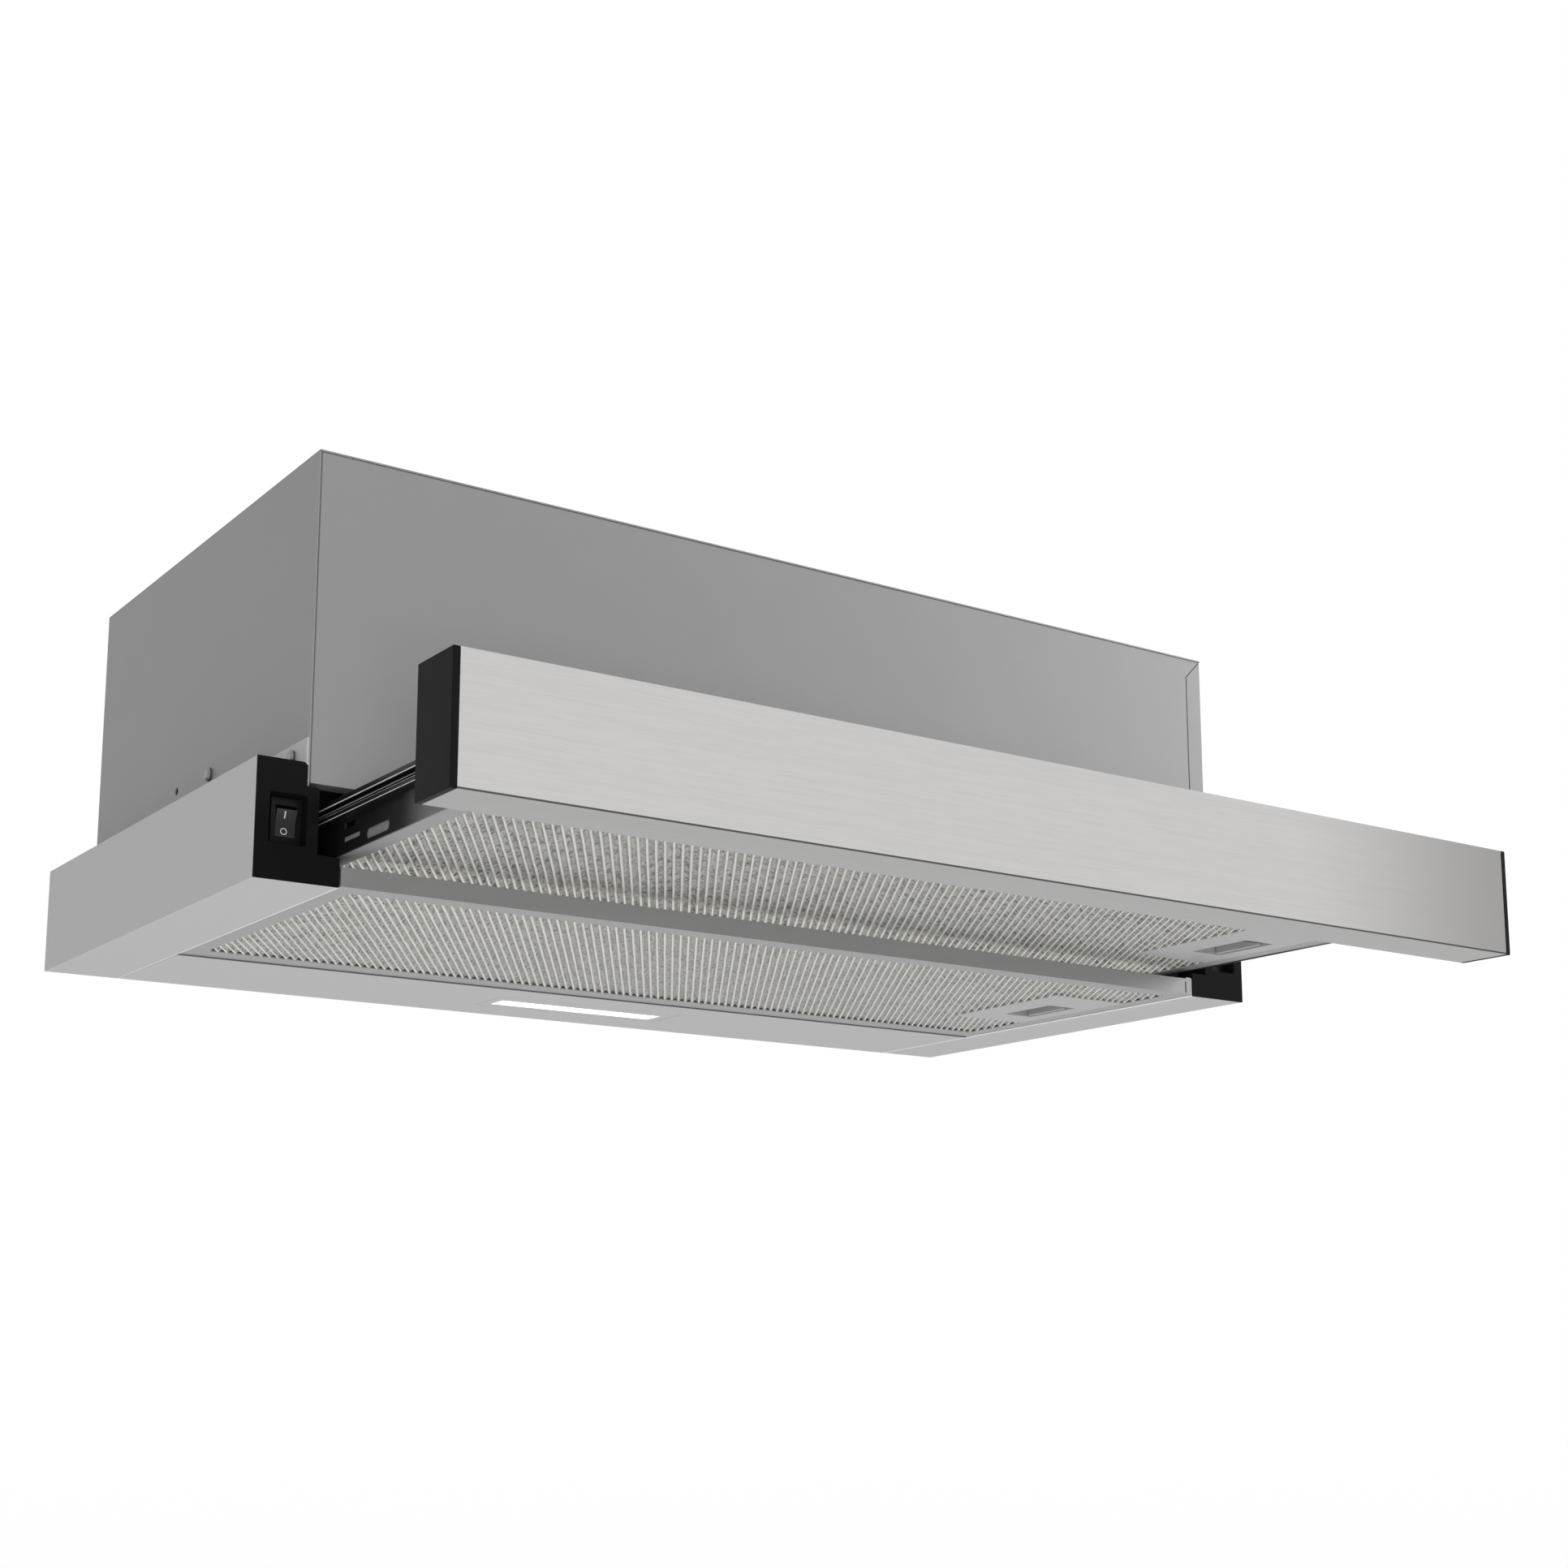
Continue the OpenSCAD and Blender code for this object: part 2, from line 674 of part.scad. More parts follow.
module latch_plate() {
    difference() {
        union() {
            block([latch_x, latch_y, 0], [filter_x - margin_side, latch_y + latch_l, plate_skin]);
            along_x(dish_x - dish_w / 2 - dish_wall, dish_x + dish_w / 2 + dish_wall)
                dish_outline(dish_wall, 0);
        }
        along_x(dish_x - dish_w / 2, dish_x + dish_w / 2) dish_outline(0, -cut);
        block([lug_x - lug_t - latch_travel, bolt_y - bolt_w / 2 - bolt_play, bolt_low - bolt_play],
            [filter_x, bolt_y + bolt_w / 2 + bolt_play, bolt_low + bolt_h + bolt_play]);
    }
}
module latch_slide() {
    along_x(lug_x - lug_t, lug_x) polygon([[dish_y + lug_start, lug_low],
        [dish_y + dish_l - play, lug_low], [dish_y + dish_l - play, dish_d - play],
        [dish_y + dish_run, dish_d - play],
        [dish_y + lug_start, dish_lip + dish_slope * lug_start - play]]);
    block([lug_x - lug_t, bolt_y - bolt_w / 2, bolt_low],
        [filter_x - slip, bolt_y + bolt_w / 2, bolt_low + bolt_h]);
}
module at_drawer_filter() { tray_frame() translate([0, visor_rear, drawer_rise]) children(); }

// The rear filter hooks over the channel's edge with two tongues, and the drawer filter over its side plate
rear_tongue = 3;
tongue_gap = 0.4;
rear_tongue_low = sheet + tongue_gap - rear_rise;
rear_tongue_t = 1;
rear_tongue_shares = [0.2, 0.8];
rear_tongue_y = filter_l * rear_tongue_shares;
front_tongue_low = 4.5;
front_tongue_t = 1.9;
front_tongue_shares = [0.22, 0.72];
front_tongue_z = drawer_rise + front_tongue_low;
front_tongue_y = filter_l * front_tongue_shares;
module at_rear_filter() { tray_frame() translate([0, 0, rear_rise]) children(); }
module rear_filter_frame() {
    color(brushed) at_rear_filter() {
        filter_frame();
        tongues(rear_tongue, rear_tongue_low, rear_tongue_t, rear_tongue_y);
    }
}
module rear_filter_mesh() { color(white) at_rear_filter() filter_mesh(); }
module rear_latch_plate() { color(brushed) at_rear_filter() latch_plate(); }
module rear_latch_slide() { color(grey) at_rear_filter() latch_slide(); }
module front_filter_frame() {
    color(brushed) at_drawer_filter() {
        filter_frame();
        tongues(plate_t, front_tongue_low, front_tongue_t, front_tongue_y);
    }
}
module front_filter_mesh() { color(white) at_drawer_filter() filter_mesh(); }
module front_latch_plate() { color(brushed) at_drawer_filter() latch_plate(); }
module front_latch_slide() { color(grey) at_drawer_filter() latch_slide(); }

// Drawer: visor, side plates and cross rail
visor_fold = 8;
steel_x = half_w - cap_t;
module visor_panel() {
    color(brushed) tray_frame() {
        block([-steel_x, visor_front, 0], [steel_x, visor_front + sheet, tray_h]);
        block([-steel_x, visor_front, 0], [steel_x, visor_rear, sheet]);
        block([-steel_x, visor_front, tray_h - sheet], [steel_x, visor_rear, tray_h]);
    }
}
plug_l = 6;
module visor_back() {
    color(grey) tray_frame() difference() {
        block([-steel_x + plug_l + slip, visor_rear - visor_fold, sheet],
            [steel_x - plug_l - slip, visor_rear, tray_h - sheet]);
        block([-half_w, visor_rear - visor_fold - cut, 2 * sheet],
            [half_w, visor_rear - sheet, tray_h - 2 * sheet]);
        at_drawer_screws() screw_hole();
    }
}
module visor_cap(side) {
    inset = sheet + slip;
    color(black) tray_frame() on_side(side) {
        block([-half_w, visor_front, 0], [-steel_x, visor_rear, tray_h]);
        difference() {
            block([-steel_x, visor_front + inset, inset], [-steel_x + plug_l, visor_rear, tray_h - inset]);
            block([-steel_x, visor_front + inset + bracket_wall, inset + bracket_wall],
                [-steel_x + plug_l + cut, visor_rear - bracket_wall, tray_h - inset - bracket_wall]);
        }
    }
}
ear_w = 11;
ear_low = drawer_rise + filter_h + corner_rise + play;
screw_x = filter_x - ear_w / 2;
module at_drawer_screws() {
    for (side = [-1, 1])
        translate([side * screw_x, visor_rear + sheet, (ear_low + plate_top) / 2]) to_y() children();
}
module drawer_side(side) {
    color(black) tray_frame() difference() {
        on_side(side) difference() {
            union() {
                block([-plate_x, visor_rear, plate_low], [-filter_x, visor_rear + plate_l, plate_top]);
                block([-plate_x, visor_rear, ear_low], [-filter_x + ear_w, visor_rear + sheet, plate_top]);
            }
            block([-plate_x - cut, window_front, window_low],
                [-filter_x + cut, window_front + window_l, window_low + window_h]);
            for (y = front_tongue_y)
                block([-plate_x - cut, visor_rear + y - tongue_w / 2 - play, front_tongue_z - play],
                    [-filter_x + slip, visor_rear + y + tongue_w / 2 + play,
                        front_tongue_z + front_tongue_t + play]);
            along_x(-plate_x - cut, -filter_x + cut)
                for (y = [oval_front + oval_h / 2, oval_front + oval_l - oval_h / 2])
                    translate([y, oval_low + oval_h / 2]) circle(d = oval_h, $fn = small_fn);
            block([-plate_x - cut, oval_front + oval_h / 2, oval_low],
                [-filter_x + cut, oval_front + oval_l - oval_h / 2, oval_low + oval_h]);
        }
        at_drawer_screws() screw_hole();
    }
}
rail_y = visor_rear + filter_l;
cross_d = 10;
cross_rise = 16;
cross_top = drawer_rise + cross_rise;
module drawer_cross_rail() {
    color(black) tray_frame() {
        block([-filter_x, rail_y, plate_low], [filter_x, rail_y + sheet, cross_top]);
        block([-filter_x, rail_y, cross_top - sheet], [filter_x, rail_y + cross_d, cross_top]);
        for (side = [-1, 1]) on_side(side)
            block([-filter_x, rail_y, plate_low], [-filter_x + sheet, rail_y + cross_d, cross_top]);
    }
}
module drawer_screws() { color(brushed) tray_frame() at_drawer_screws() screw(); }

// Blower: scroll, wheel, shaft and motor on an axis along X
fan_y = 128;
fan_z = 112;
scroll_start = 75;
scroll_step = 15;
neck_z = 176;
neck_in = fan_y + scroll_r * cos(scroll_start);
neck_out = fan_y + scroll_r + scroll_growth;
outlet_y = (neck_in + neck_out) / 2;
inlet_step = 7;
inlet_r = wheel_d / 2 - inlet_step;
function scroll_at(grow) = [for (a = [0 : scroll_step : 360 - scroll_start])
    (scroll_r + scroll_growth * a / (360 - scroll_start) + grow)
        * [cos(scroll_start + a), sin(scroll_start + a)]];
module scroll_outline(grow) {
    translate([fan_y, fan_z]) polygon(concat(scroll_at(grow),
        [[neck_out - fan_y + grow, neck_z - fan_z], [neck_in - fan_y - grow, neck_z - fan_z]]));
}
neck_rim = 6;
bell_lip = 3;
bell_depth = 6;
bell_t = 1.5;
module inlet_bell() {
    rotate_extrude($fn = round_fn) polygon(concat([[inlet_r, bell_depth]],
        [for (a = [180 : 15 : 270]) [inlet_r + bell_lip, 0] + bell_lip * [cos(a), sin(a)]],
        [[inlet_r + bell_lip, scroll_t], [inlet_r + bell_t, scroll_t], [inlet_r + bell_t, bell_depth]]));
}
module scroll_half(side) {
    wall_x = scroll_w / 2 + scroll_t;
    on_side(side) {
        difference() {
            union() {
                along_x(-wall_x, 0) scroll_outline(scroll_t);
                block([-wall_x - neck_rim, neck_in - scroll_t - neck_rim, neck_z - scroll_t],
                    [0, neck_out + scroll_t + neck_rim, neck_z]);
            }
            along_x(-scroll_w / 2, cut) scroll_outline(0);
            block([-scroll_w / 2, neck_in, neck_z - 2 * cut], [cut, neck_out, neck_z + cut]);
            translate([-wall_x, fan_y, fan_z]) to_x()
                cylinder(r = inlet_r + bell_t, h = 3 * scroll_t, center = true, $fn = round_fn);
            at_motor_arms(side) screw_hole();
        }
        translate([-wall_x, fan_y, fan_z]) to_x() inlet_bell();
    }
}
module scroll_left() { color(grey) tray_frame() scroll_half(-1); }
module scroll_right() { color(grey) tray_frame() scroll_half(1); }
blade_t = 1;
blade_in = 46.5;
blade_bend = 18;
blade_points = 4;
blade_edge = 0.5;
rim_t = 2.5;
disc_t = 2;
hub_r = 9;
hub_l = 20;
function blade_line(grow) = [for (i = [0 : blade_points - 1])
    let (s = i / (blade_points - 1), a = blade_bend * s * s,
        r = blade_in + s * (wheel_d / 2 - blade_edge - blade_in))
    r * [cos(a), sin(a)] + grow * [-sin(a), cos(a)]];
module blower_wheel() {
    rim_in = wheel_d / 2 - rim_t;
    color(grey) tray_frame() translate([0, fan_y, fan_z]) difference() {
        union() {
            along_x(-wheel_w / 2, wheel_w / 2) for (i = [0 : blades - 1])
                rotate(i * 360 / blades) polygon(concat(blade_line(0), reversed(blade_line(blade_t))));
            for (x = [-wheel_w / 2, wheel_w / 2 - rim_t]) along_x(x, x + rim_t) difference() {
                circle(wheel_d / 2, $fn = round_fn);
                circle(rim_in, $fn = round_fn);
            }
            along_x(-disc_t / 2, disc_t / 2) circle(wheel_d / 2, $fn = round_fn);
            along_x(-hub_l / 2, hub_l / 2) circle(hub_r, $fn = round_fn);
        }
        along_x(-hub_l, hub_l) circle(shaft_r + run, $fn = round_fn);
    }
}
motor_gap = 10;
motor_end = -scroll_w / 2 - scroll_t - motor_gap;
boss_l = 4;
boss_r = 14;
bell_l = 14;
bell_step = 4;
shaft_out = 3;
module motor() {
    r = motor_d / 2;
    color(grey) tray_frame() translate([motor_end, fan_y, fan_z]) rotate([0, -90, 0])
        rotate_extrude($fn = round_fn) polygon([[shaft_r + run, -boss_l], [boss_r, -boss_l], [boss_r, 0],
            [r - bell_step, 0], [r - bell_step, bell_l], [r, bell_l], [r, motor_l - bell_l],
            [r - bell_step, motor_l - bell_l], [r - bell_step, motor_l - bell_step],
            [r - 2 * bell_step, motor_l], [shaft_r + run, motor_l]]);
}
module motor_shaft() {
    color(brushed) tray_frame() translate([0, fan_y, fan_z])
        along_x(motor_end - motor_l - shaft_out, hub_l / 2 + shaft_out) circle(shaft_r, $fn = round_fn);
}
arm_w = 12;
arm_t = 2;
arm_angles = [180, 300, 60];
arm_reach = 6;
arm_r = scroll_r + arm_reach;
plate_ring = 9;
arm_foot = 9;
module at_motor_arms(side) {
    if (side < 0) for (a = arm_angles)
        translate([-scroll_w / 2 - scroll_t - arm_t, fan_y, fan_z]) rotate([a, 0, 0])
            translate([0, arm_r - arm_foot / 2, 0]) rotate([0, -90, 0]) children();
}
module motor_bracket() {
    wall_x = -scroll_w / 2 - scroll_t;
    color(galvanised) tray_frame() difference() {
        translate([0, fan_y, fan_z]) union() {
            along_x(motor_end, motor_end + arm_t) circle(boss_r + plate_ring, $fn = round_fn);
            for (a = arm_angles) rotate([a, 0, 0]) {
                block([motor_end, 0, -arm_w / 2], [motor_end + arm_t, arm_r - arm_foot, arm_w / 2]);
                block([motor_end, arm_r - arm_foot - arm_t, -arm_w / 2],
                    [wall_x, arm_r - arm_foot, arm_w / 2]);
                block([wall_x - arm_t, arm_r - arm_foot - arm_t, -arm_w / 2], [wall_x, arm_r, arm_w / 2]);
            }
        }
        translate([motor_end, fan_y, fan_z]) to_x()
            cylinder(r = boss_r + slip, h = 3 * arm_t, center = true, $fn = round_fn);
        at_motor_arms(-1) screw_hole();
    }
}

// Outlet: adapter under the top panel, collar over it, two flaps on one pin
adapter_low = neck_z;
adapter_high = wall_top;
module adapter_body(grow) {
    hull() {
        block([-scroll_w / 2 - grow, neck_in - grow, adapter_low],
            [scroll_w / 2 + grow, neck_out + grow, adapter_low + scroll_t]);
        translate([0, outlet_y, adapter_high - scroll_t])
            cylinder(r = outlet_r + grow - scroll_t, h = scroll_t, $fn = round_fn);
    }
}
module outlet_adapter() {
    color(grey) tray_frame() difference() {
        union() {
            adapter_body(scroll_t);
            block([-scroll_w / 2 - scroll_t - neck_rim, neck_in - scroll_t - neck_rim, adapter_low],
                [scroll_w / 2 + scroll_t + neck_rim, neck_out + scroll_t + neck_rim, adapter_low + scroll_t]);
            translate([0, outlet_y, adapter_high - scroll_t])
                cylinder(r = flange_r, h = scroll_t, $fn = round_fn);
        }
        adapter_body(0);
        block([-scroll_w / 2, neck_in, adapter_low - cut], [scroll_w / 2, neck_out, adapter_low + cut / 2]);
        translate([0, outlet_y, adapter_high - scroll_t])
            cylinder(r = outlet_r - scroll_t, h = scroll_t + cut, $fn = round_fn);
        at_collar_screws() screw_hole();
    }
}
flange_rim = 9;
flange_r = collar_d / 2 + flange_rim;
flange_t = 2;
flange_edge = 1;
stop_w = 3;
stop_t = 2;
stop_r = outlet_r - stop_w;
flap_rise = 11;
flap_z = box_top + flap_rise;
flap_t = 1.2;
flap_gap = 4.5;
flap_edge = 1.2;
flap_r = outlet_r - flap_edge;
flap_fall = flap_t / 2;
stop_z = flap_rise - flap_fall - slip;
knuckle_wall = 1.3;
knuckle_r = flap_pin_r + knuckle_wall;
knuckle_l = 9;
module at_collar_screws() {
    for (a = [45 : 90 : 315])
        translate([0, outlet_y, box_top + flange_t]) rotate(a)
            translate([flange_r - head_r - flange_edge, 0, 0]) children();
}
module outlet_collar() {
    color(black) tray_frame() difference() {
        union() {
            translate([0, outlet_y, box_top]) rotate_extrude($fn = round_fn)
                polygon([[outlet_r, 0], [flange_r, 0], [flange_r, flange_t], [collar_d / 2, flange_t],
                    [collar_d / 2, collar_h], [outlet_r, collar_h],
                    [outlet_r, stop_z], [stop_r, stop_z], [stop_r, stop_z - stop_t],
                    [outlet_r, stop_z - stop_t - stop_w]]);
        }
        translate([0, outlet_y, flap_z]) to_x()
            cylinder(r = flap_pin_r, h = 2 * outlet_r + collar_t, center = true, $fn = small_fn);
        at_collar_screws() screw_hole();
    }
}
module flap_pin() {
    color(brushed) tray_frame() translate([0, outlet_y, flap_z]) to_x()
        cylinder(r = flap_pin_r, h = 2 * outlet_r + collar_t, center = true, $fn = small_fn);
}
module flap(end, places) {
    color(black) tray_frame() translate([0, outlet_y, flap_z]) difference() {
        union() {
            intersection() {
                translate([0, 0, -flap_fall]) cylinder(r = flap_r, h = flap_t, $fn = round_fn);
                on_end(end) block([-flap_r, flap_gap, -flap_t], [flap_r, flap_r, flap_t]);
            }
            for (x = places) {
                along_x(x - knuckle_l / 2, x + knuckle_l / 2) circle(knuckle_r, $fn = small_fn);
                on_end(end) block([x - knuckle_l / 2, 0, -flap_fall],
                    [x + knuckle_l / 2, flap_gap + flap_t, flap_t - flap_fall]);
            }
        }
        along_x(-flap_r, flap_r) circle(flap_pin_r + run, $fn = small_fn);
    }
}
front_places = [-36, 24];
back_places = [-24, 36];
module flap_front() { flap(-1, front_places); }
module flap_back() { flap(1, back_places); }

// Wiring parts on the back panel and the gland in the top panel
wall_y = box_end - sheet;
can_r = 15;
can_l = 60;
can_side = 85;
can_x = can_side - box_x;
can_z = 150;
can_gap = 4;
can_y = wall_y - can_r - can_gap;
module capacitor() {
    color(white) tray_frame() {
        translate([can_x, can_y, can_z]) along_x(-can_l / 2, can_l / 2) circle(can_r, $fn = round_fn);
        block([can_x - can_l / 8, can_y, can_z - can_r / 2], [can_x + can_l / 8, wall_y, can_z + can_r / 2]);
    }
}
term_w = 80;
term_side = 45;
term_x = box_x - term_side - term_w;
term_d = 32;
term_h = 60;
term_z = 120;
term_wall = 2;
term_hole = 6;
module terminal_box() {
    color(white) tray_frame() difference() {
        block([term_x, wall_y - term_d, term_z], [term_x + term_w, wall_y, term_z + term_h]);
        block([term_x + term_wall, wall_y - term_d - cut, term_z + term_wall],
            [term_x + term_w - term_wall, wall_y - term_wall, term_z + term_h - term_wall]);
        translate([term_x + term_w / 2, wall_y - term_d / 2, term_z + term_h - cut])
            cylinder(r = term_hole, h = 2 * cut, $fn = small_fn);
    }
}
module terminal_box_lid() {
    inset = term_wall + slip;
    color(white) tray_frame() {
        block([term_x, wall_y - term_d - term_wall, term_z],
            [term_x + term_w, wall_y - term_d, term_z + term_h]);
        block([term_x + inset, wall_y - term_d, term_z + inset],
            [term_x + term_w - inset, wall_y - term_d + term_wall, term_z + term_h - inset]);
    }
}
gland_x = term_x + term_w / 2;
gland_y = wall_y - term_d / 2;
gland_wall = 4;
gland_body_r = gland_r + gland_wall;
gland_nut = 3;
gland_nut_r = gland_body_r + gland_nut;
gland_nut_t = 5;
gland_top = 16;
gland_taper = 1;
module at_gland() { translate([gland_x, gland_y, box_top]) children(); }
module cable_gland() {
    color(black) tray_frame() at_gland() rotate_extrude($fn = round_fn)
        polygon([[gland_r, -sheet - gland_nut_t], [gland_nut_r, -sheet - gland_nut_t], [gland_nut_r, -sheet],
            [gland_body_r, -sheet], [gland_body_r, 0], [gland_nut_r, 0], [gland_nut_r, gland_nut_t],
            [gland_body_r + gland_taper, gland_top], [gland_r, gland_top]]);
}
module body_screws() {
    color(brushed) tray_frame() {
        for (side = [-1, 1]) on_side(side) {
            at_side_screw() screw();
            at_channel_screw() screw();
        }
        at_back_screws() screw();
        at_collar_screws() screw();
        at_motor_arms(-1) screw();
    }
}

box_side_left();
box_side_right();
front_panel();
top_panel();
back_panel();
side_channel(-1);  // side_channel_left
side_channel(1);  // side_channel_right
rear_strip();
slide_support(-1);  // slide_support_left
slide_support(1);  // slide_support_right
outer_rail(-1);  // outer_rail_left
outer_rail(1);  // outer_rail_right
switch_bracket(-1);  // switch_bracket_left
switch_bracket(1);  // switch_bracket_right
switch_body(-1);  // switch_body_left
switch_body(1);  // switch_body_right
rocker(-1);  // rocker_left
rocker(1);  // rocker_right
lamp_frame();
lamp_lens();
lamp_board();
body_screws();
scroll_left();
scroll_right();
blower_wheel();
motor_shaft();
motor();
motor_bracket();
outlet_adapter();
outlet_collar();
flap_pin();
flap_front();
flap_back();
capacitor();
terminal_box();
terminal_box_lid();
cable_gland();
visor_panel();
visor_back();
visor_cap(-1);  // visor_cap_left
visor_cap(1);  // visor_cap_right
drawer_side(-1);  // drawer_side_left
drawer_side(1);  // drawer_side_right
drawer_cross_rail();
inner_rail(-1);  // inner_rail_left
inner_rail(1);  // inner_rail_right
drawer_screws();
middle_rail(-1);  // middle_rail_left
middle_rail(1);  // middle_rail_right
ball_cage(-1);  // ball_cage_left
ball_cage(1);  // ball_cage_right
front_filter_frame();
front_filter_mesh();
front_latch_plate();
front_latch_slide();
rear_filter_frame();
rear_filter_mesh();
rear_latch_plate();
rear_latch_slide();
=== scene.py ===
"""Pull out range hood: finishes, rounded edges, meshes, switch marks and a plain studio."""

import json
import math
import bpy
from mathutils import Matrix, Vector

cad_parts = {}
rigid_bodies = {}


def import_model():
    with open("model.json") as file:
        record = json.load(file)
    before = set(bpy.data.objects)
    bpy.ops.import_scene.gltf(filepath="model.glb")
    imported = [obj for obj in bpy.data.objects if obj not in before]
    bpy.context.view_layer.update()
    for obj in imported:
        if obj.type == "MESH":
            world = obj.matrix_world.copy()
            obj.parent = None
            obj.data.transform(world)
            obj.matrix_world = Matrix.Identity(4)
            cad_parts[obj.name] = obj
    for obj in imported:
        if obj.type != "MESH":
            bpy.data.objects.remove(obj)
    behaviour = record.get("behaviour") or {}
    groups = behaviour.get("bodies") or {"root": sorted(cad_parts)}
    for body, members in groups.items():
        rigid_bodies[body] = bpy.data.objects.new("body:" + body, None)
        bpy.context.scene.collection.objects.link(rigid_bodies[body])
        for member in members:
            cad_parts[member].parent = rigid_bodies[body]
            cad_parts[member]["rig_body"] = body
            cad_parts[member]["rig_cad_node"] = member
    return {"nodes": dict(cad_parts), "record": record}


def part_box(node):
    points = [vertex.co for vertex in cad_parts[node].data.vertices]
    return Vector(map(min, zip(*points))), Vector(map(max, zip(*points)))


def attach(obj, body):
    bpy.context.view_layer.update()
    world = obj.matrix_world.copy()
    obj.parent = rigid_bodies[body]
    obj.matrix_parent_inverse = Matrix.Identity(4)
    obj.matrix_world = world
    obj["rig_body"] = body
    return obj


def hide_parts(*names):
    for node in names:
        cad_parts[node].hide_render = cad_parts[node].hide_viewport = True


bl_info = {
    "name": "Pull out range hood",
    "version": (1, 0, 0),
    "blender": (4, 5, 0),
    "location": "View3D > Sidebar > Range hood",
    "description": "Dresses a slim pull out range hood and sets up its studio",
    "category": "Object",
}

import bpy
from bpy.props import FloatProperty, FloatVectorProperty, PointerProperty
from mathutils import Matrix, Vector

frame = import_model()
NODES = frame["nodes"]
BEHAVIOUR = frame["record"]["behaviour"]
BODY_OF = {node: body for body, nodes in BEHAVIOUR["bodies"].items() for node in nodes}
SLOT_OF = {part["node"]: part["material_slot"] for part in frame["record"]["subparts"]}
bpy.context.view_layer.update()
MM = 0.001


# Settings that a user would change


def colour(name, value, description):
    return FloatVectorProperty(
        name=name, description=description, default=value, subtype="COLOR", size=3, min=0, max=1
    )


def length(name, value, description):
    return FloatProperty(
        name=name, description=description, default=value, subtype="DISTANCE", unit="LENGTH", min=0
    )


def share(name, value, description):
    return FloatProperty(name=name, description=description, default=value, min=0, max=1)


class HoodFinishes(bpy.types.PropertyGroup):
    """Colours and sheens of the hood."""

    box: colour("Box", (0.235, 0.235, 0.235), "Coated sheet of the box and its lid")
    tray: colour("Tray", (0.42, 0.42, 0.42), "Coated sheet of the side channels and the rear strip")
    visor: colour("Visor", (0.60, 0.59, 0.585), "Brushed stainless steel of the visor")
    cassette: colour("Filter frames", (0.27, 0.27, 0.27), "Satin aluminium of the filter frames")
    plate: colour("Latch plates", (0.37, 0.37, 0.37), "Satin aluminium of the latch plates")
    # Mesh colours: painted highlight on the ridges and painted shade in the valleys
    mesh_ridge_highlight: colour("Mesh ridges", (0.8, 0.79, 0.75), "Ridges of the grease mesh")
    mesh_valley_shade: colour("Mesh valleys", (0.1, 0.1, 0.095), "Valleys of the grease mesh")
    black: colour("Black parts", (0.0075, 0.0075, 0.0078), "Moulded brackets, caps and switches")
    bright: colour("Screw steel", (0.2, 0.2, 0.2), "Zinc plated screws and cages")
    # Cut edges: near-white, used as a painted highlight on the channels' cut edges and along the rails'
    # edges
    edge: colour("Cut edges", (0.95, 0.95, 0.95), "Bare edges of cut sheet and rolled rails")
    satin: share("Sheet roughness", 0.42, "Roughness of the coated sheet")
    brushed: share("Visor roughness", 0.36, "Roughness of the brushed visor")


class HoodSizes(bpy.types.PropertyGroup):
    """Sizes of what is made here."""

    fold: length("Fold radius", 0.35 * MM, "Rounding of the sheet metal's folds and edges")
    edge: length("Moulded edge", 0.35 * MM, "Rounding of moulded edges")
    mark_w: length("Mark width", 0.55 * MM, "Width of the lines of the switch marks")
    mark_h: length("Mark height", 3.4 * MM, "Height of the switch marks")
    mark_proud: length("Mark relief", 0.08 * MM, "How far the switch marks stand out")


class HoodStudio(bpy.types.PropertyGroup):
    """Camera, floor and light."""

    camera: FloatVectorProperty(
        name="Camera",
        description="Place of the camera, below the hood and in front of it to the left",
        default=(-0.658126, -0.965961, -0.207011),
        subtype="TRANSLATION",
        unit="LENGTH",
        size=3,
    )
    turn: FloatVectorProperty(
        name="Turn",
        description="Turn of the camera",
        default=(1.75016382, 0.000137386, -0.607873268),
        subtype="EULER",
        size=3,
    )
    lens: FloatProperty(name="Lens", description="Focal length in millimetres", default=52.4384, min=1)
    shift: FloatProperty(name="Shift", description="Upward shift of the frame", default=0.108609)
    floor: length("Floor drop", 1.1, "Height of the hood above the floor")
    ambient: FloatProperty(
        name="Ambient", description="Strength of the room's light", default=0.5, min=0
    )


# Shader maths


class Value:
    """A socket in a sum: Python's operators add Math nodes to it."""

    def __init__(self, finish, socket):
        self.finish = finish
        self.socket = socket

    def math(self, operation, *terms):
        return self.finish.node("ShaderNodeMath", {"operation": operation}, dict(enumerate(terms)))

    def __add__(self, other):
        return self.math("ADD", self, other)

    __radd__ = __add__

    def __sub__(self, other):
        return self.math("SUBTRACT", self, other)

    def __rsub__(self, other):
        return self.math("SUBTRACT", other, self)

    def __mul__(self, other):
        return self.math("MULTIPLY", self, other)

    __rmul__ = __mul__

    def __gt__(self, other):
        return self.math("GREATER_THAN", self, other)

    def __lt__(self, other):
        return self.math("LESS_THAN", self, other)

    def fraction(self):
        return self.math("FRACT", self)

    def sine(self):
        return self.math("SINE", self)

    def size(self):
        return self.math("ABSOLUTE", self)

    def at_least(self, other):
        return self.math("MAXIMUM", self, other)

    def ramp(self, low, high):
        """0 up to low, 1 from high, and smooth between them."""
        return self.finish.node(
            "ShaderNodeMapRange",
            {"interpolation_type": "SMOOTHSTEP"},
            {"Value": self, "From Min": low, "From Max": high},
        )


SHADER_LEVELS = {
    "specular": "Specular IOR Level",
    "emission": "Emission Strength",
}


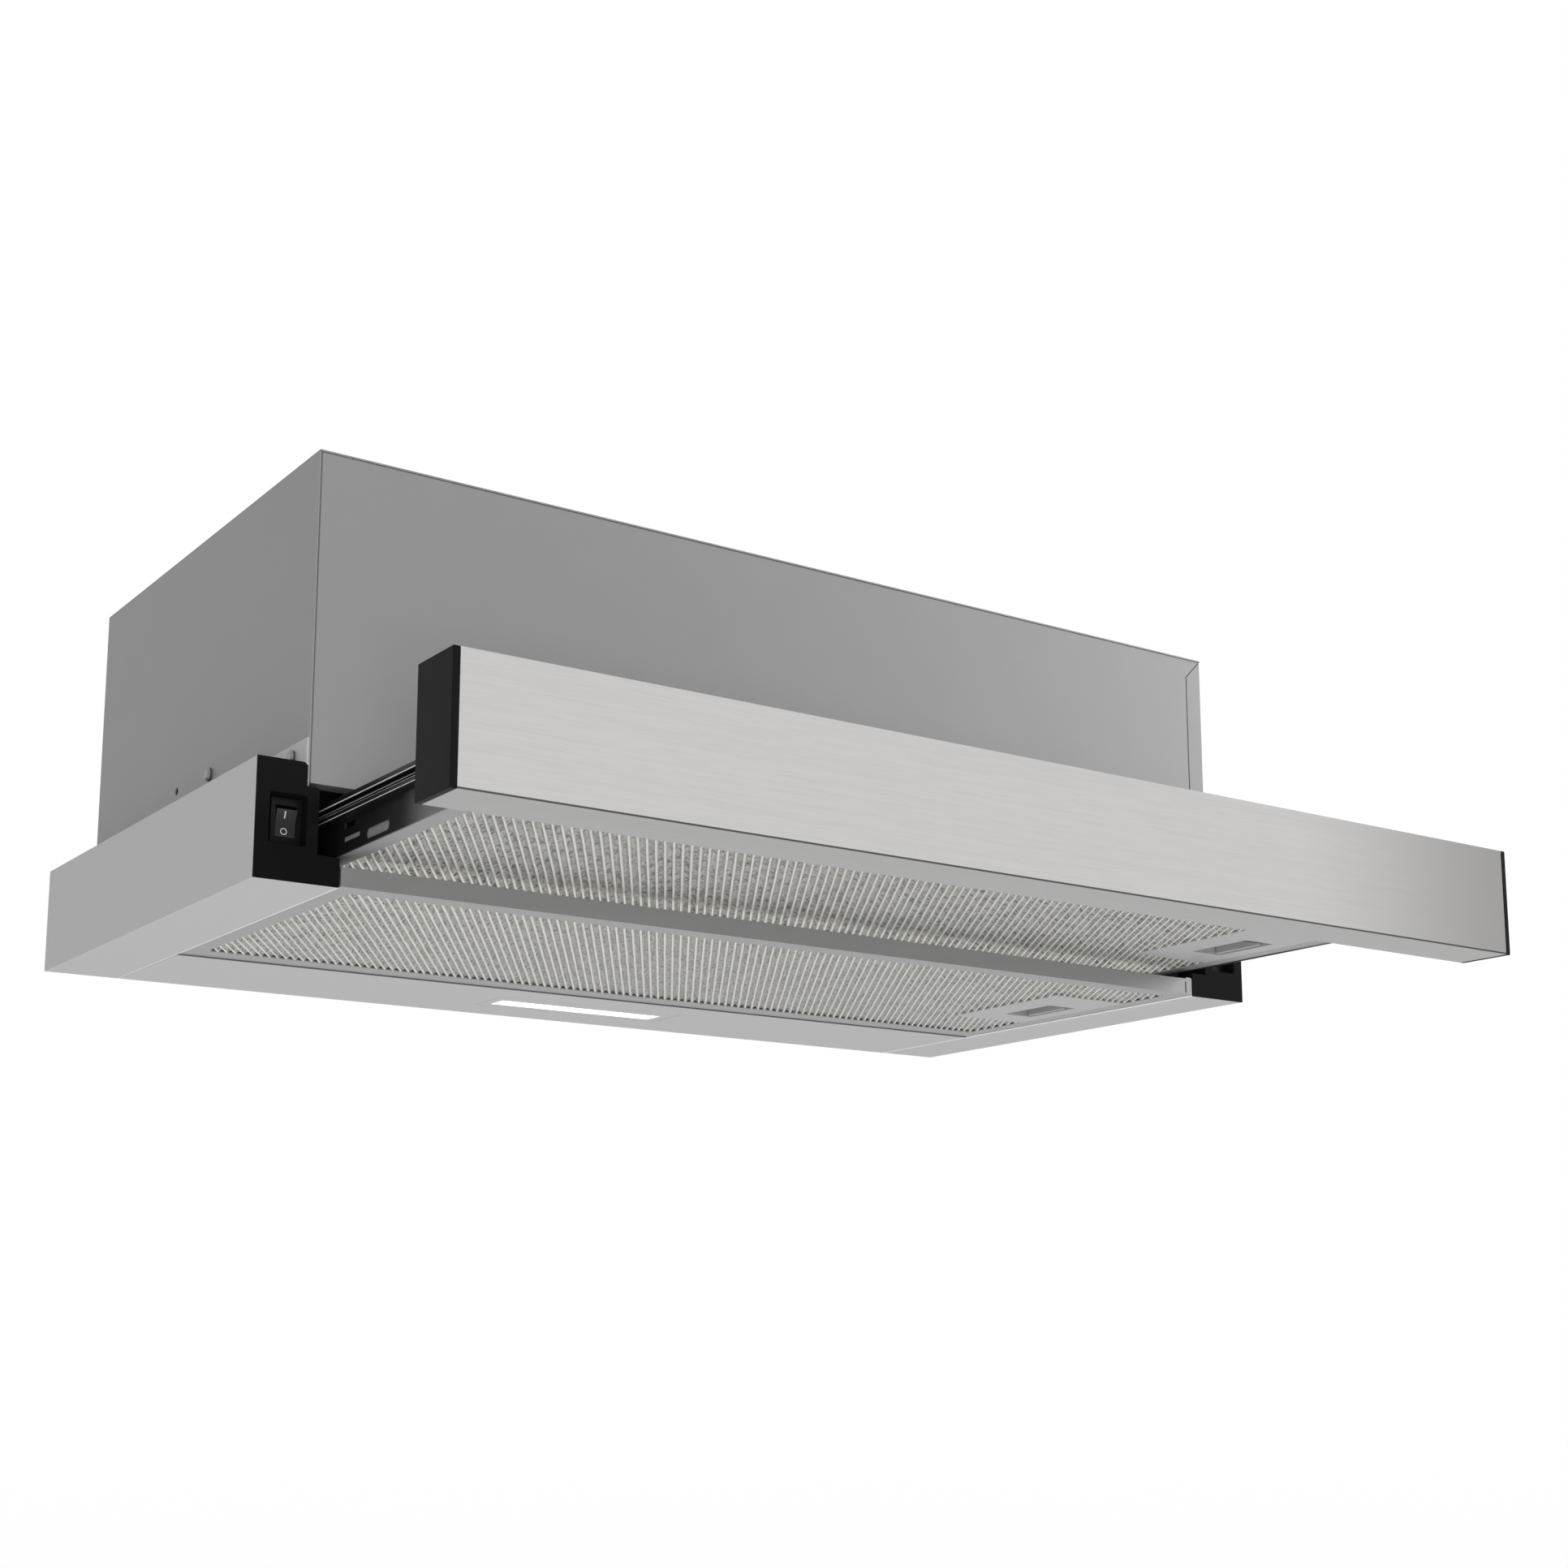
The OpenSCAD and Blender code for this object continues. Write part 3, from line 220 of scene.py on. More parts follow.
class Finish:
    """A material on the principled shader."""

    def __init__(self, name, base, roughness, metallic=0.0, **levels):
        self.material = bpy.data.materials.new(name)
        self.material.use_nodes = True
        self.tree = self.material.node_tree
        self.shader = self.tree.nodes["Principled BSDF"]
        self.put(self.shader.inputs["Base Color"], base)
        self.put(self.shader.inputs["Roughness"], roughness)
        self.put(self.shader.inputs["Metallic"], metallic)
        for level, amount in levels.items():
            self.put(self.shader.inputs[SHADER_LEVELS[level]], amount)

    def put(self, socket, value):
        if isinstance(value, Value):
            self.tree.links.new(value.socket, socket)
        elif hasattr(value, "__len__") and len(value) == 3 and socket.type == "RGBA":
            socket.default_value = (*value, 1)
        else:
            socket.default_value = value

    def node(self, kind, settings, inputs, output=0):
        made = self.tree.nodes.new(kind)
        for setting, value in settings.items():
            setattr(made, setting, value)
        for socket, value in inputs.items():
            self.put(made.inputs[socket], value)
        return Value(self, made.outputs[output])

    def place(self):
        return self.node("ShaderNodeTexCoord", {}, {}, "Object")

    def axes(self):
        split = self.tree.nodes.new("ShaderNodeSeparateXYZ")
        self.put(split.inputs[0], self.place())
        return [Value(self, socket) for socket in split.outputs]

    def noise(self, cells, detail=2.0):
        """Noise with so many cells a metre, either one number or three along X, Y and Z."""
        along_axes = cells if hasattr(cells, "__len__") else (cells, cells, cells)
        point = self.node(
            "ShaderNodeVectorMath", {"operation": "MULTIPLY"}, {0: self.place(), 1: along_axes}
        )
        return self.node("ShaderNodeTexNoise", {}, {"Vector": point, "Scale": 1.0, "Detail": detail})

    def mix(self, amount, first, second):
        return self.node(
            "ShaderNodeMix",
            {"data_type": "RGBA"},
            {"Factor": amount, 6: first, 7: second},
            2,
        )

    def tint(self, colour_value, low, high, amount):
        """The colour from low to high times itself."""
        return self.mix(amount, scaled(colour_value, low), scaled(colour_value, high))

    def base(self, value):
        self.put(self.shader.inputs["Base Color"], value)

    def rough(self, value):
        self.put(self.shader.inputs["Roughness"], value)

    def bump(self, height, distance, strength=1.0):
        normal = self.node(
            "ShaderNodeBump", {}, {"Height": height, "Distance": distance, "Strength": strength}
        )
        self.put(self.shader.inputs["Normal"], normal)


def scaled(colour_value, factor):
    """The colour times a factor, at most white."""
    return [min(c * factor, 1) for c in colour_value]


# Finishes: noise is given in cells a metre, and depths and widths in metres


def finish_settings():
    return bpy.context.scene.hood_finishes


def rim(finish, node, width):
    """1 on a strip so wide round the node's box, seen from below, and 0 inside it."""
    low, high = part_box(node)
    x, y, _ = finish.axes()
    past_x = (x - (low[0] + high[0]) / 2).size() > (high[0] - low[0]) / 2 - width
    past_y = (y - (low[1] + high[1]) / 2).size() > (high[1] - low[1]) / 2 - width
    return past_x.at_least(past_y)


MOTTLE = 38
ORANGE_PEEL = 900
PEEL_DEPTH = 0.02 * MM
# CUT_HIGH and CUT_DEEP bound the painted highlight on the channels' cut edges
CUT_HIGH = 1.2 * MM
CUT_DEEP = 0.6 * MM
# Width and darkening of the painted shadow line in the gap along a seam
SEAM_SHADOW_WIDTH = 0.8 * MM
SEAM_SHADOW_DIM = 0.3


def sheet_finish(name, base, cut_x=None, seam_with_shadow=None):
    """Coated sheet: an even satin with a very faint mottle and a fine orange peel.

    Near the underside, less than cut_x from the middle, it is painted near-white as a painted highlight
    on the cut edge. Along the front edge of a given node it has a painted shadow line.
    """
    roughness = finish_settings().satin
    finish = Finish(name, base, roughness, 0.1, specular=0.35)
    mottle = finish.noise(MOTTLE, 3.0)
    sheet = finish.tint(base, 0.965, 1.035, mottle)
    if cut_x:
        x, _, z = finish.axes()
        # Painted highlight: the cut edge of the sheet is painted near-white to stand in for its glint
        cut_edge_highlight = (x.size() < cut_x) * (z < CUT_HIGH)
        sheet = finish.mix(cut_edge_highlight, sheet, tuple(finish_settings().edge))
    if seam_with_shadow:
        _, y, _ = finish.axes()
        # Painted shadow: a dark line along the node's front edge for the shade in the gap there
        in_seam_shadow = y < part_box(seam_with_shadow)[0][1] + SEAM_SHADOW_WIDTH
        sheet = finish.mix(in_seam_shadow, sheet, scaled(base, SEAM_SHADOW_DIM))
    finish.base(sheet)
    finish.rough(roughness + (mottle - 0.5) * 0.08)
    finish.bump(finish.noise(ORANGE_PEEL, 1.0), PEEL_DEPTH, 0.35)
    return finish.material


STREAKS = (7, 700, 700)
SCRATCHES = (45, 2600, 2600)
FLECKS = (150, 1500, 1500)
SCRATCH_DEPTH = 0.01 * MM
# Painted shade towards the visor's right end, standing in for the reflection falling off there
RIGHT_END_SHADE = 0.6
RIGHT_END_FROM = 0.13
RIGHT_END_TO = 0.31
UNDER_FOLD = 0.5 * MM
UNDER_DIM = 0.53
# Width and colour of the painted shade line along the fold between the visor's face and underside
CREASE = 0.5 * MM
CREASE_SHADE = (0.03, 0.03, 0.03)


def visor_finish(name, base):
    """Stainless steel brushed from side to side: long soft streaks and short fine scratches.

    It has painted shade towards its right end, where the reflection falls off, and is darker on its
    underside, with a painted shade line along the fold between face and underside.
    """
    roughness = finish_settings().brushed
    finish = Finish(name, base, roughness, 1.0)
    streaks = finish.noise(STREAKS, 3.0)
    scratches = finish.noise(SCRATCHES, 3.0)
    flecks = finish.noise(FLECKS, 2.0).ramp(0.62, 0.74)
    grain = streaks * 0.35 + scratches * 0.65
    x, _, z = finish.axes()
    steel = finish.tint(base, 0.955, 1.045, grain.ramp(0.3, 0.7) - flecks * 0.35)
    # Painted shade: darker towards the right end, where the reflection falls off
    right_end_shade = x.ramp(RIGHT_END_FROM, RIGHT_END_TO)
    face = finish.mix(right_end_shade, steel, scaled(base, RIGHT_END_SHADE))
    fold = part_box("visor_panel")[0][2] + UNDER_FOLD
    folded = finish.mix(z < fold, face, scaled(base, UNDER_DIM))
    # Painted shade: a near-black line along the fold for the shade in the gap there
    crease_shade = 1 - (z - fold).size().ramp(CREASE * 0.5, CREASE)
    finish.base(finish.mix(crease_shade * 0.85, folded, CREASE_SHADE))
    finish.rough(roughness + (grain - 0.5) * 0.2)
    finish.bump(grain, SCRATCH_DEPTH, 0.2)
    return finish.material


ROLLING = (26, 420, 420)
ROLLING_DEPTH = 0.02 * MM


def satin_finish(name, base, metallic=0.6, roughness=0.4):
    """Pressed aluminium or zinc coated sheet with a faint rolling grain."""
    finish = Finish(name, base, roughness, metallic)
    grain = finish.noise(ROLLING, 3.0)
    finish.base(finish.tint(base, 0.95, 1.05, grain))
    finish.rough(roughness + (grain - 0.5) * 0.12)
    finish.bump(grain, ROLLING_DEPTH, 0.3)
    return finish.material


# The ridges of the meshes run at a slant. RIDGE_ACROSS points across them. Of a pleat's steps the
# first two are its lowest, which shows as a bright ridge from below, so its middle lies between them.
RIDGE_PITCH = 3.9 * MM
RIDGE_TURN = math.radians(-31.9)
RIDGE_ACROSS = (math.cos(RIDGE_TURN), math.sin(RIDGE_TURN))
PLEAT_SHARES = (0, 0.04, 0.55, 1, 1, 0.55)
STEPS = len(PLEAT_SHARES)
RIDGE_MIDDLE = 0.5 / STEPS
RIDGE_HALF = (0.08, 0.2)
BEAD = 1.5 * MM
RIDGE_WANDER = 40
STRAND_WOBBLE = 420
SPECKS = 520
GRIME = 60
STRAND_DEPTH = 0.3 * MM


def mesh_finish(name, light, dark):
    """Pleated expanded mesh: ridges painted light with bright beads, as painted highlights, and valleys
    painted dark, as painted shade, over its twisted strands and dark specks.
    """
    finish = Finish(name, light, 0.5, 0.2, specular=0.3)
    x, y, _ = finish.axes()
    across = x * RIDGE_ACROSS[0] + y * RIDGE_ACROSS[1]
    along = y * RIDGE_ACROSS[0] - x * RIDGE_ACROSS[1]
    wander = finish.noise(RIDGE_WANDER, 1.0) - 0.5
    phase = (across * (1 / RIDGE_PITCH) + (0.5 - RIDGE_MIDDLE) + wander * 0.12).fraction()
    ridge = 1 - (phase - 0.5).size().ramp(*RIDGE_HALF)
    wobble = finish.noise(STRAND_WOBBLE, 2.0)
    turns = math.pi / BEAD
    beads = ((along + across * 0.6) * turns + wobble * 2.2).sine().size()
    strands = ((along * 0.75 - across * 1.3) * turns + wobble * 3.0).sine().size()
    specks = finish.noise(SPECKS, 2.0).ramp(0.5, 0.62)
    grime = finish.noise(GRIME, 3.0)
    # Painted shade in the valleys and painted highlight on the ridges, over the strands, specks and
    # grime
    painted_valley_shade = 0.32 + strands * 0.2 - specks * 0.5 + (grime - 0.5) * 0.2
    painted_ridge_highlight = 0.64 + beads * 0.36
    level = painted_valley_shade + (painted_ridge_highlight - painted_valley_shade) * ridge
    finish.base(finish.mix(level, dark, light))
    finish.bump(level, STRAND_DEPTH, 0.7)
    return finish.material


CLOUD = 60
SPARK_DEPTH = 0.03 * MM


def moulded_finish(name, base, roughness=0.42, spark=1700, gloss=0.3):
    """Moulded plastic with a fine spark texture."""
    finish = Finish(name, base, roughness, specular=gloss)
    cloud = finish.noise(CLOUD)
    finish.base(finish.tint(base, 0.9, 1.12, cloud))
    finish.rough(roughness + (cloud - 0.5) * 0.1)
    finish.bump(finish.noise(spark), SPARK_DEPTH, 0.35)
    return finish.material


SLIDE_WEAR = (18, 160, 1800)
WORN_BLACK = (0.03, 0.03, 0.03)


def slide_finish(name, base):
    """Black coated steel, a little worn along the rolling edges."""
    finish = Finish(name, base, 0.4, 0.0, specular=0.12)
    wear_and_sheen = finish.noise(SLIDE_WEAR, 3.0)
    finish.base(finish.mix(wear_and_sheen.ramp(0.62, 0.8), base, WORN_BLACK))
    finish.rough(0.4 + (wear_and_sheen - 0.5) * 0.2)
    return finish.material


RAIL_Z = 33.5 * MM
LIP_EDGE = 1.95 * MM
RAIL_FOOT = 4.05 * MM
EDGE_LINE = 0.3 * MM
EDGE_HIGHLIGHT_NOISE = (20, 90, 20)


def rolled_finish(name, base, edge):
    """Black coated rail with painted highlight lines, near-white and varied in strength by a noise,
    along the edges of its lips and along its foot.
    """
    finish = Finish(name, base, 0.35, 0.0, specular=0.12)
    _, _, z = finish.axes()
    # Painted highlight: near-white lines along the lip edges and the foot
    lip = 1 - ((z - RAIL_Z).size() - LIP_EDGE).size().ramp(EDGE_LINE * 0.5, EDGE_LINE)
    foot = 1 - (RAIL_Z - z - RAIL_FOOT).size().ramp(EDGE_LINE * 0.4, EDGE_LINE * 0.7)
    wear_and_sheen = finish.noise(EDGE_HIGHLIGHT_NOISE, 3.0)
    finish.base(finish.mix(lip.at_least(foot) * (0.45 + wear_and_sheen * 0.5), base, edge))
    return finish.material


PLATE_SHEEN_FROM = -112 * MM
PLATE_SHEEN = 34 * MM
PLATE_REFLECTION_GREY = (0.17, 0.17, 0.17)


def plate_finish(name, base):
    """Black coated plate that greys towards the visor: a painted reflection."""
    finish = Finish(name, base, 0.42, 0.0, specular=0.15)
    _, y, _ = finish.axes()
    # Painted reflection: black grading to grey towards the visor
    painted_reflection = (PLATE_SHEEN_FROM - y).ramp(0, PLATE_SHEEN)
    finish.base(finish.mix(painted_reflection + (finish.noise(CLOUD) - 0.5) * 0.06, base, PLATE_REFLECTION_GREY))
    return finish.material


def lamp_finish(name, base):
    """Moulded lamp frame with a shadow line where it meets the strip."""
    finish = Finish(name, base, 0.4, specular=0.3)
    finish.base(finish.mix(rim(finish, "lamp_frame", 2 * SEAM_SHADOW_WIDTH), base, scaled(base, SEAM_SHADOW_DIM)))
    finish.bump(finish.noise(ORANGE_PEEL), SPARK_DEPTH, 0.35)
    return finish.material


HAZE = 90


def lens_finish(name, base):
    """Frosted lens of a lamp that is on."""
    finish = Finish(name, base, 0.25, emission=1.0)
    glow = finish.mix(finish.noise(HAZE), (0.97, 0.98, 1), (1, 1, 1))
    finish.put(finish.shader.inputs["Emission Color"], glow)
    return finish.material


# The finishes by name, kept here because the frame has flat materials of the same names
PAINT = {}


def paint_all():
    """Makes the finishes and puts one on each node."""
    s = finish_settings()
    PAINT.update({
        "box_paint": sheet_finish("box_paint", tuple(s.box)),
        "strip_paint": sheet_finish("strip_paint", tuple(s.tray), seam_with_shadow="rear_strip"),
        "channel_paint": sheet_finish(
            "channel_paint", tuple(s.tray), cut_x=channel_inner_edge() + CUT_DEEP),
        "zinc_steel": satin_finish("zinc_steel", (0.42, 0.42, 0.415), 0.8, 0.42),
        "visor_steel": visor_finish("visor_steel", tuple(s.visor)),
        "filter_aluminium": satin_finish("filter_aluminium", tuple(s.cassette), 0.35, 0.45),
        "latch_aluminium": satin_finish("latch_aluminium", tuple(s.plate), 0.35, 0.45),
        "mesh_aluminium": mesh_finish("mesh_aluminium", tuple(s.mesh_ridge_highlight), tuple(s.mesh_valley_shade)),
        "black_plastic": moulded_finish("black_plastic", tuple(s.black), 0.6, gloss=0.02),
        "cap_plastic": moulded_finish("cap_plastic", tuple(s.black), 0.5, gloss=0.04),
        "switch_plastic": moulded_finish("switch_plastic", tuple(s.black), 0.3, 1200, 0.14),
        # The rockers wear a four times lighter copy of the black plastic, a painted highlight standing
        # in for their soft highlight
        "rocker_plastic": moulded_finish("rocker_plastic", scaled(s.black, 4), 0.3, 1200),
        "black_steel": slide_finish("black_steel", tuple(s.black)),
        "rolled_rail": rolled_finish("rolled_rail", tuple(s.black), tuple(s.edge)),
        "drawer_plate": plate_finish("drawer_plate", tuple(s.black)),
        "bright_steel": satin_finish("bright_steel", tuple(s.bright), 1.0, 0.3),
        "lamp_grey": lamp_finish("lamp_grey", tuple(s.tray)),
        "lens_white": lens_finish("lens_white", (0.9, 0.9, 0.9)),
        "board_white": moulded_finish("board_white", (0.75, 0.75, 0.73), 0.4),
        "scroll_plastic": moulded_finish("scroll_plastic", (0.07, 0.07, 0.075), 0.45, 800),
        "motor_paint": moulded_finish("motor_paint", (0.2, 0.2, 0.21), 0.38, 700),
        "wiring_white": moulded_finish("wiring_white", (0.68, 0.68, 0.65), 0.4, 900),
        "mark_white": moulded_finish("mark_white", (0.82, 0.82, 0.82), 0.4),
    })
    for node, obj in NODES.items():
        obj.data.materials.clear()
        obj.data.materials.append(PAINT[paint_of(node)])


def paint_of(node):
    """The name of a node's finish: its slot's own, but for the parts that wear another."""
    slot = SLOT_OF[node]
    if node.startswith("visor_cap"):
        return "cap_plastic"
    if node.startswith("rocker"):
        return "rocker_plastic"
    if "_latch_" in node:
        return "latch_aluminium"
    if node.startswith("inner_rail"):
        return "rolled_rail"
    if node.startswith("drawer_side"):
        return "drawer_plate"
    if slot != "panel_paint":
        return slot
    if node.startswith("side_channel"):
        return "channel_paint"
    return "strip_paint" if node == "rear_strip" else "box_paint"


def channel_inner_edge():
    """How far from the middle the side channels' lower flanges are cut."""
    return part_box("side_channel_right")[0][0]


# Modelling helpers


def alone(obj):
    """Selects the object and nothing else."""
    bpy.ops.object.select_all(action="DESELECT")
    obj.select_set(True)
    bpy.context.view_layer.objects.active = obj


def settle(obj):
    """Moves the object's place, turn and scale into its mesh."""
    alone(obj)
    bpy.ops.object.transform_apply(location=True, rotation=True, scale=True)


def modify(obj, kind, **settings):
    """Adds a modifier with these settings and applies it."""
    alone(obj)
    modifier = obj.modifiers.new(kind.lower(), kind)
    for setting, value in settings.items():
        setattr(modifier, setting, value)
    bpy.ops.object.modifier_apply(modifier=modifier.name)


def join(pieces, name):
    alone(pieces[0])
    for piece in pieces:
        piece.select_set(True)
    if len(pieces) > 1:
        bpy.ops.object.join()
    pieces[0].name = name
    pieces[0].data.name = name
    return pieces[0]


def keep(piece, body, slot, material, *stands_for):
    """Gives a finished piece its material and body."""
    piece.data.materials.clear()
    piece.data.materials.append(PAINT[material])
    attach(piece, body)
    if stands_for:
        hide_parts(*stands_for)
    return piece


FOLD_ANGLE = math.radians(50)
SHARP_ANGLE = math.radians(35)


def formed(node, radius):
    """A copy of a node's mesh, with its triangles joined and its folds and edges rounded."""
    alone(NODES[node])
    bpy.ops.object.duplicate()
    piece = bpy.context.view_layer.objects.active
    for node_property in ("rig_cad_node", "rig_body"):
        del piece[node_property]
    piece.parent = None
    piece.name = node + "_formed"
    bpy.ops.object.mode_set(mode="EDIT")
    bpy.ops.mesh.select_all(action="SELECT")
    bpy.ops.mesh.remove_doubles(threshold=0.005 * MM)
    bpy.ops.mesh.dissolve_limited(angle_limit=math.radians(1))
    bpy.ops.object.mode_set(mode="OBJECT")
    modify(piece, "BEVEL", width=radius, segments=2, limit_method="ANGLE", angle_limit=FOLD_ANGLE)
    alone(piece)
    bpy.ops.object.shade_smooth_by_angle(angle=SHARP_ANGLE)
    modify(piece, "WEIGHTED_NORMAL", keep_sharp=True)
    return keep(piece, BODY_OF[node], SLOT_OF[node], paint_of(node), node)


class PieceOperator:
    """An operator that runs its build method and raises when that fails."""

    bl_options = {"REGISTER", "UNDO"}

    def execute(self, context):
        self.build(context)
        return {"FINISHED"}


class HOOD_OT_finishes(PieceOperator, bpy.types.Operator):
    """Makes the finishes and puts them on the hood's nodes"""

    bl_idname = "hood.finishes"
    bl_label = "Finishes"

    def build(self, context):
        paint_all()


FOLDED = [
    "box_side_left", "box_side_right", "front_panel", "top_panel", "back_panel", "side_channel_left",
    "side_channel_right", "rear_strip", "visor_panel", "front_filter_frame", "rear_filter_frame",
    "drawer_side_left", "drawer_side_right", "drawer_cross_rail", "lamp_frame",
]
MOULDED = [
    "visor_cap_left", "visor_cap_right", "switch_bracket_left", "switch_bracket_right",
    "switch_body_left", "switch_body_right", "rocker_left", "rocker_right",
    "front_latch_plate", "rear_latch_plate", "front_latch_slide", "rear_latch_slide",
    "terminal_box", "terminal_box_lid",
]
RAILS = [
    "outer_rail_left", "outer_rail_right", "middle_rail_left", "middle_rail_right",
    "inner_rail_left", "inner_rail_right",
]
RAIL_ROUNDING = 0.6


class HOOD_OT_folds(PieceOperator, bpy.types.Operator):
    """Rounds the folds and edges of the sheet metal, the moulded parts and the rails"""

    bl_idname = "hood.folds"
    bl_label = "Folds and edges"

    def build(self, context):
        sizes = context.scene.hood_sizes
        for node in FOLDED:
            formed(node, sizes.fold)
        for node in MOULDED:
            formed(node, sizes.edge)
        for node in RAILS:
            formed(node, sizes.fold * RAIL_ROUNDING)


# MESH_GRIP is cut off the CAD mesh's front and back edges, MESH_TUCK goes under the frame's side lips
PLEAT_H = 1.4 * MM
MESH_T = 0.5 * MM
MESH_GRIP = 3.6 * MM
MESH_TUCK = 0.4 * MM
MESH_RISE = 0.15 * MM
PLEAT_ANGLE = math.radians(50)


def pleated(low, high):
    """A sheet over the box from low to high, pleated along the ridges' direction."""
    wide, deep = high[0] - low[0], high[1] - low[1]
    middle = ((low[0] + high[0]) / 2, (low[1] + high[1]) / 2)
    cos, sin = RIDGE_ACROSS[0], -RIDGE_ACROSS[1]
    pleats = math.ceil((wide * cos + deep * sin) / RIDGE_PITCH) + 2
    ridge_length = wide * sin + deep * cos + RIDGE_PITCH
    start = middle[0] * cos - middle[1] * sin - pleats * RIDGE_PITCH / 2
    slip = round(start / RIDGE_PITCH) * RIDGE_PITCH - start
    bpy.ops.object.select_all(action="DESELECT")
    bpy.ops.mesh.primitive_grid_add(
        size=1, x_subdivisions=pleats * STEPS, y_subdivisions=1,
        location=(middle[0] + slip * cos, middle[1] - slip * sin, low[2]))
    sheet = bpy.context.active_object
    sheet.scale = (pleats * RIDGE_PITCH, ridge_length, 1)
    rise = high[2] - low[2] - MESH_T
    for step, share_up in enumerate(PLEAT_SHARES):
        if share_up:
            bpy.ops.object.mode_set(mode="EDIT")
            bpy.ops.mesh.select_all(action="DESELECT")
            bpy.ops.object.mode_set(mode="OBJECT")
            for vertex in sheet.data.vertices:
                vertex.select = round((vertex.co.x + 0.5) * pleats * STEPS) % STEPS == step
            bpy.ops.object.mode_set(mode="EDIT")
            bpy.ops.transform.translate(value=(0, 0, rise * share_up))
            bpy.ops.object.mode_set(mode="OBJECT")
    sheet.rotation_euler = (0, 0, RIDGE_TURN)
    settle(sheet)
    return sheet


def trimmed(sheet, low, high):
    """Cuts the sheet off at the sides of the box from low to high."""
    alone(sheet)
    bpy.ops.object.mode_set(mode="EDIT")
    for axis in (0, 1):
        for corner, sign in ((low, -1), (high, 1)):
            place, normal = [0, 0, 0], [0, 0, 0]
            place[axis], normal[axis] = corner[axis], sign
            bpy.ops.mesh.select_all(action="SELECT")
            bpy.ops.mesh.bisect(plane_co=place, plane_no=normal, clear_outer=True, threshold=0.001 * MM)
    bpy.ops.object.mode_set(mode="OBJECT")
    return sheet


class HOOD_OT_meshes(PieceOperator, bpy.types.Operator):
    """Pleats the two grease meshes at a slant, round their latch plates"""

    bl_idname = "hood.meshes"
    bl_label = "Grease meshes"

    def build(self, context):
        for filter_name in ("front", "rear"):
            node, plate = filter_name + "_filter_mesh", filter_name + "_latch_plate"
            node_low, node_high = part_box(node)
            plate_low, plate_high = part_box(plate)
            side = plate_high[0] + MESH_TUCK
            low = (-side, node_low[1] + MESH_GRIP, plate_low[2] + MESH_RISE)
            high = (side, node_high[1] - MESH_GRIP, low[2] + PLEAT_H + MESH_T)
            parts = [((low[0], low[1]), (plate_low[0], high[1]))]
            if plate_low[1] > low[1]:
                parts.append(((plate_low[0], low[1]), (high[0], plate_low[1])))
            if plate_high[1] < high[1]:
                parts.append(((plate_low[0], plate_high[1]), (high[0], high[1])))
            sheets = [trimmed(pleated(low, high), near, far) for near, far in parts]
            mesh = join(sheets, node + "_pleated")
            bpy.ops.object.mode_set(mode="EDIT")
            bpy.ops.mesh.select_all(action="SELECT")
            bpy.ops.mesh.remove_doubles(threshold=0.01 * MM)
            bpy.ops.object.mode_set(mode="OBJECT")
            modify(mesh, "SOLIDIFY", thickness=MESH_T, offset=1)
            alone(mesh)
            bpy.ops.object.shade_smooth_by_angle(angle=PLEAT_ANGLE)
            keep(mesh, BODY_OF[node], SLOT_OF[node], paint_of(node), node)


# From the dip between a rocker's two faces to a mark's middle, and from the faces' middle sideways
MARK_UP = 3.6 * MM
MARK_ACROSS = 0.7 * MM
MARK_ANGLE = math.radians(40)
BAR_ROUNDING = 0.3
RING_SIZE = 0.4


def pressed_face(rocker, end):
    """The upper (end 1) or lower (end -1) of the two large faces of a rocker's front."""
    faces = rocker.data.polygons
    middle = sum(face.center.z for face in faces) / len(faces)
    front = [f for f in faces if f.normal.y < -0.9 and (f.center.z - middle) * end > 0]
    return max(front, key=lambda face: face.area)


class HOOD_OT_switch_marks(PieceOperator, bpy.types.Operator):
    """Puts a bar and a ring on each rocker"""

    bl_idname = "hood.switch_marks"
    bl_label = "Switch marks"

    def build(self, context):
        sizes = context.scene.hood_sizes
        for side in ("left", "right"):
            rocker = bpy.data.objects["rocker_" + side + "_formed"]
            dip = (pressed_face(rocker, 1).center + pressed_face(rocker, -1).center) / 2
            bpy.ops.object.select_all(action="DESELECT")
            bpy.ops.mesh.primitive_cube_add(size=1)
            bar = bpy.context.active_object
            bar.scale = (sizes.mark_w, sizes.mark_w, sizes.mark_h)
            settle(bar)
            modify(bar, "BEVEL", width=sizes.mark_w * BAR_ROUNDING, segments=2)
            bpy.ops.object.select_all(action="DESELECT")
            bpy.ops.mesh.primitive_torus_add(
                major_radius=sizes.mark_h * RING_SIZE, minor_radius=sizes.mark_w / 2,
                major_segments=40, minor_segments=12, rotation=(math.pi / 2, 0, 0))
            ring = bpy.context.active_object
            settle(ring)
            for mark, end in ((bar, 1), (ring, -1)):
                face = pressed_face(rocker, end)
                lean = Vector((0, -1, 0)).rotation_difference(face.normal).to_matrix().to_4x4()
                up = lean @ Vector((0, 0, end))
                reach = MARK_UP - (face.center - dip).dot(up)
                across = Vector((-MARK_ACROSS if side == "left" else MARK_ACROSS, 0, 0))
                relief = face.normal * (sizes.mark_proud - sizes.mark_w / 2)
                place = face.center + up * reach + across + relief
                mark.matrix_world = Matrix.Translation(place) @ lean
                settle(mark)
            marks = join([bar, ring], "marks_switch_" + side)
            alone(marks)
            bpy.ops.object.shade_smooth_by_angle(angle=MARK_ANGLE)
            keep(marks, "switch_" + side, "switch_plastic", "mark_white")


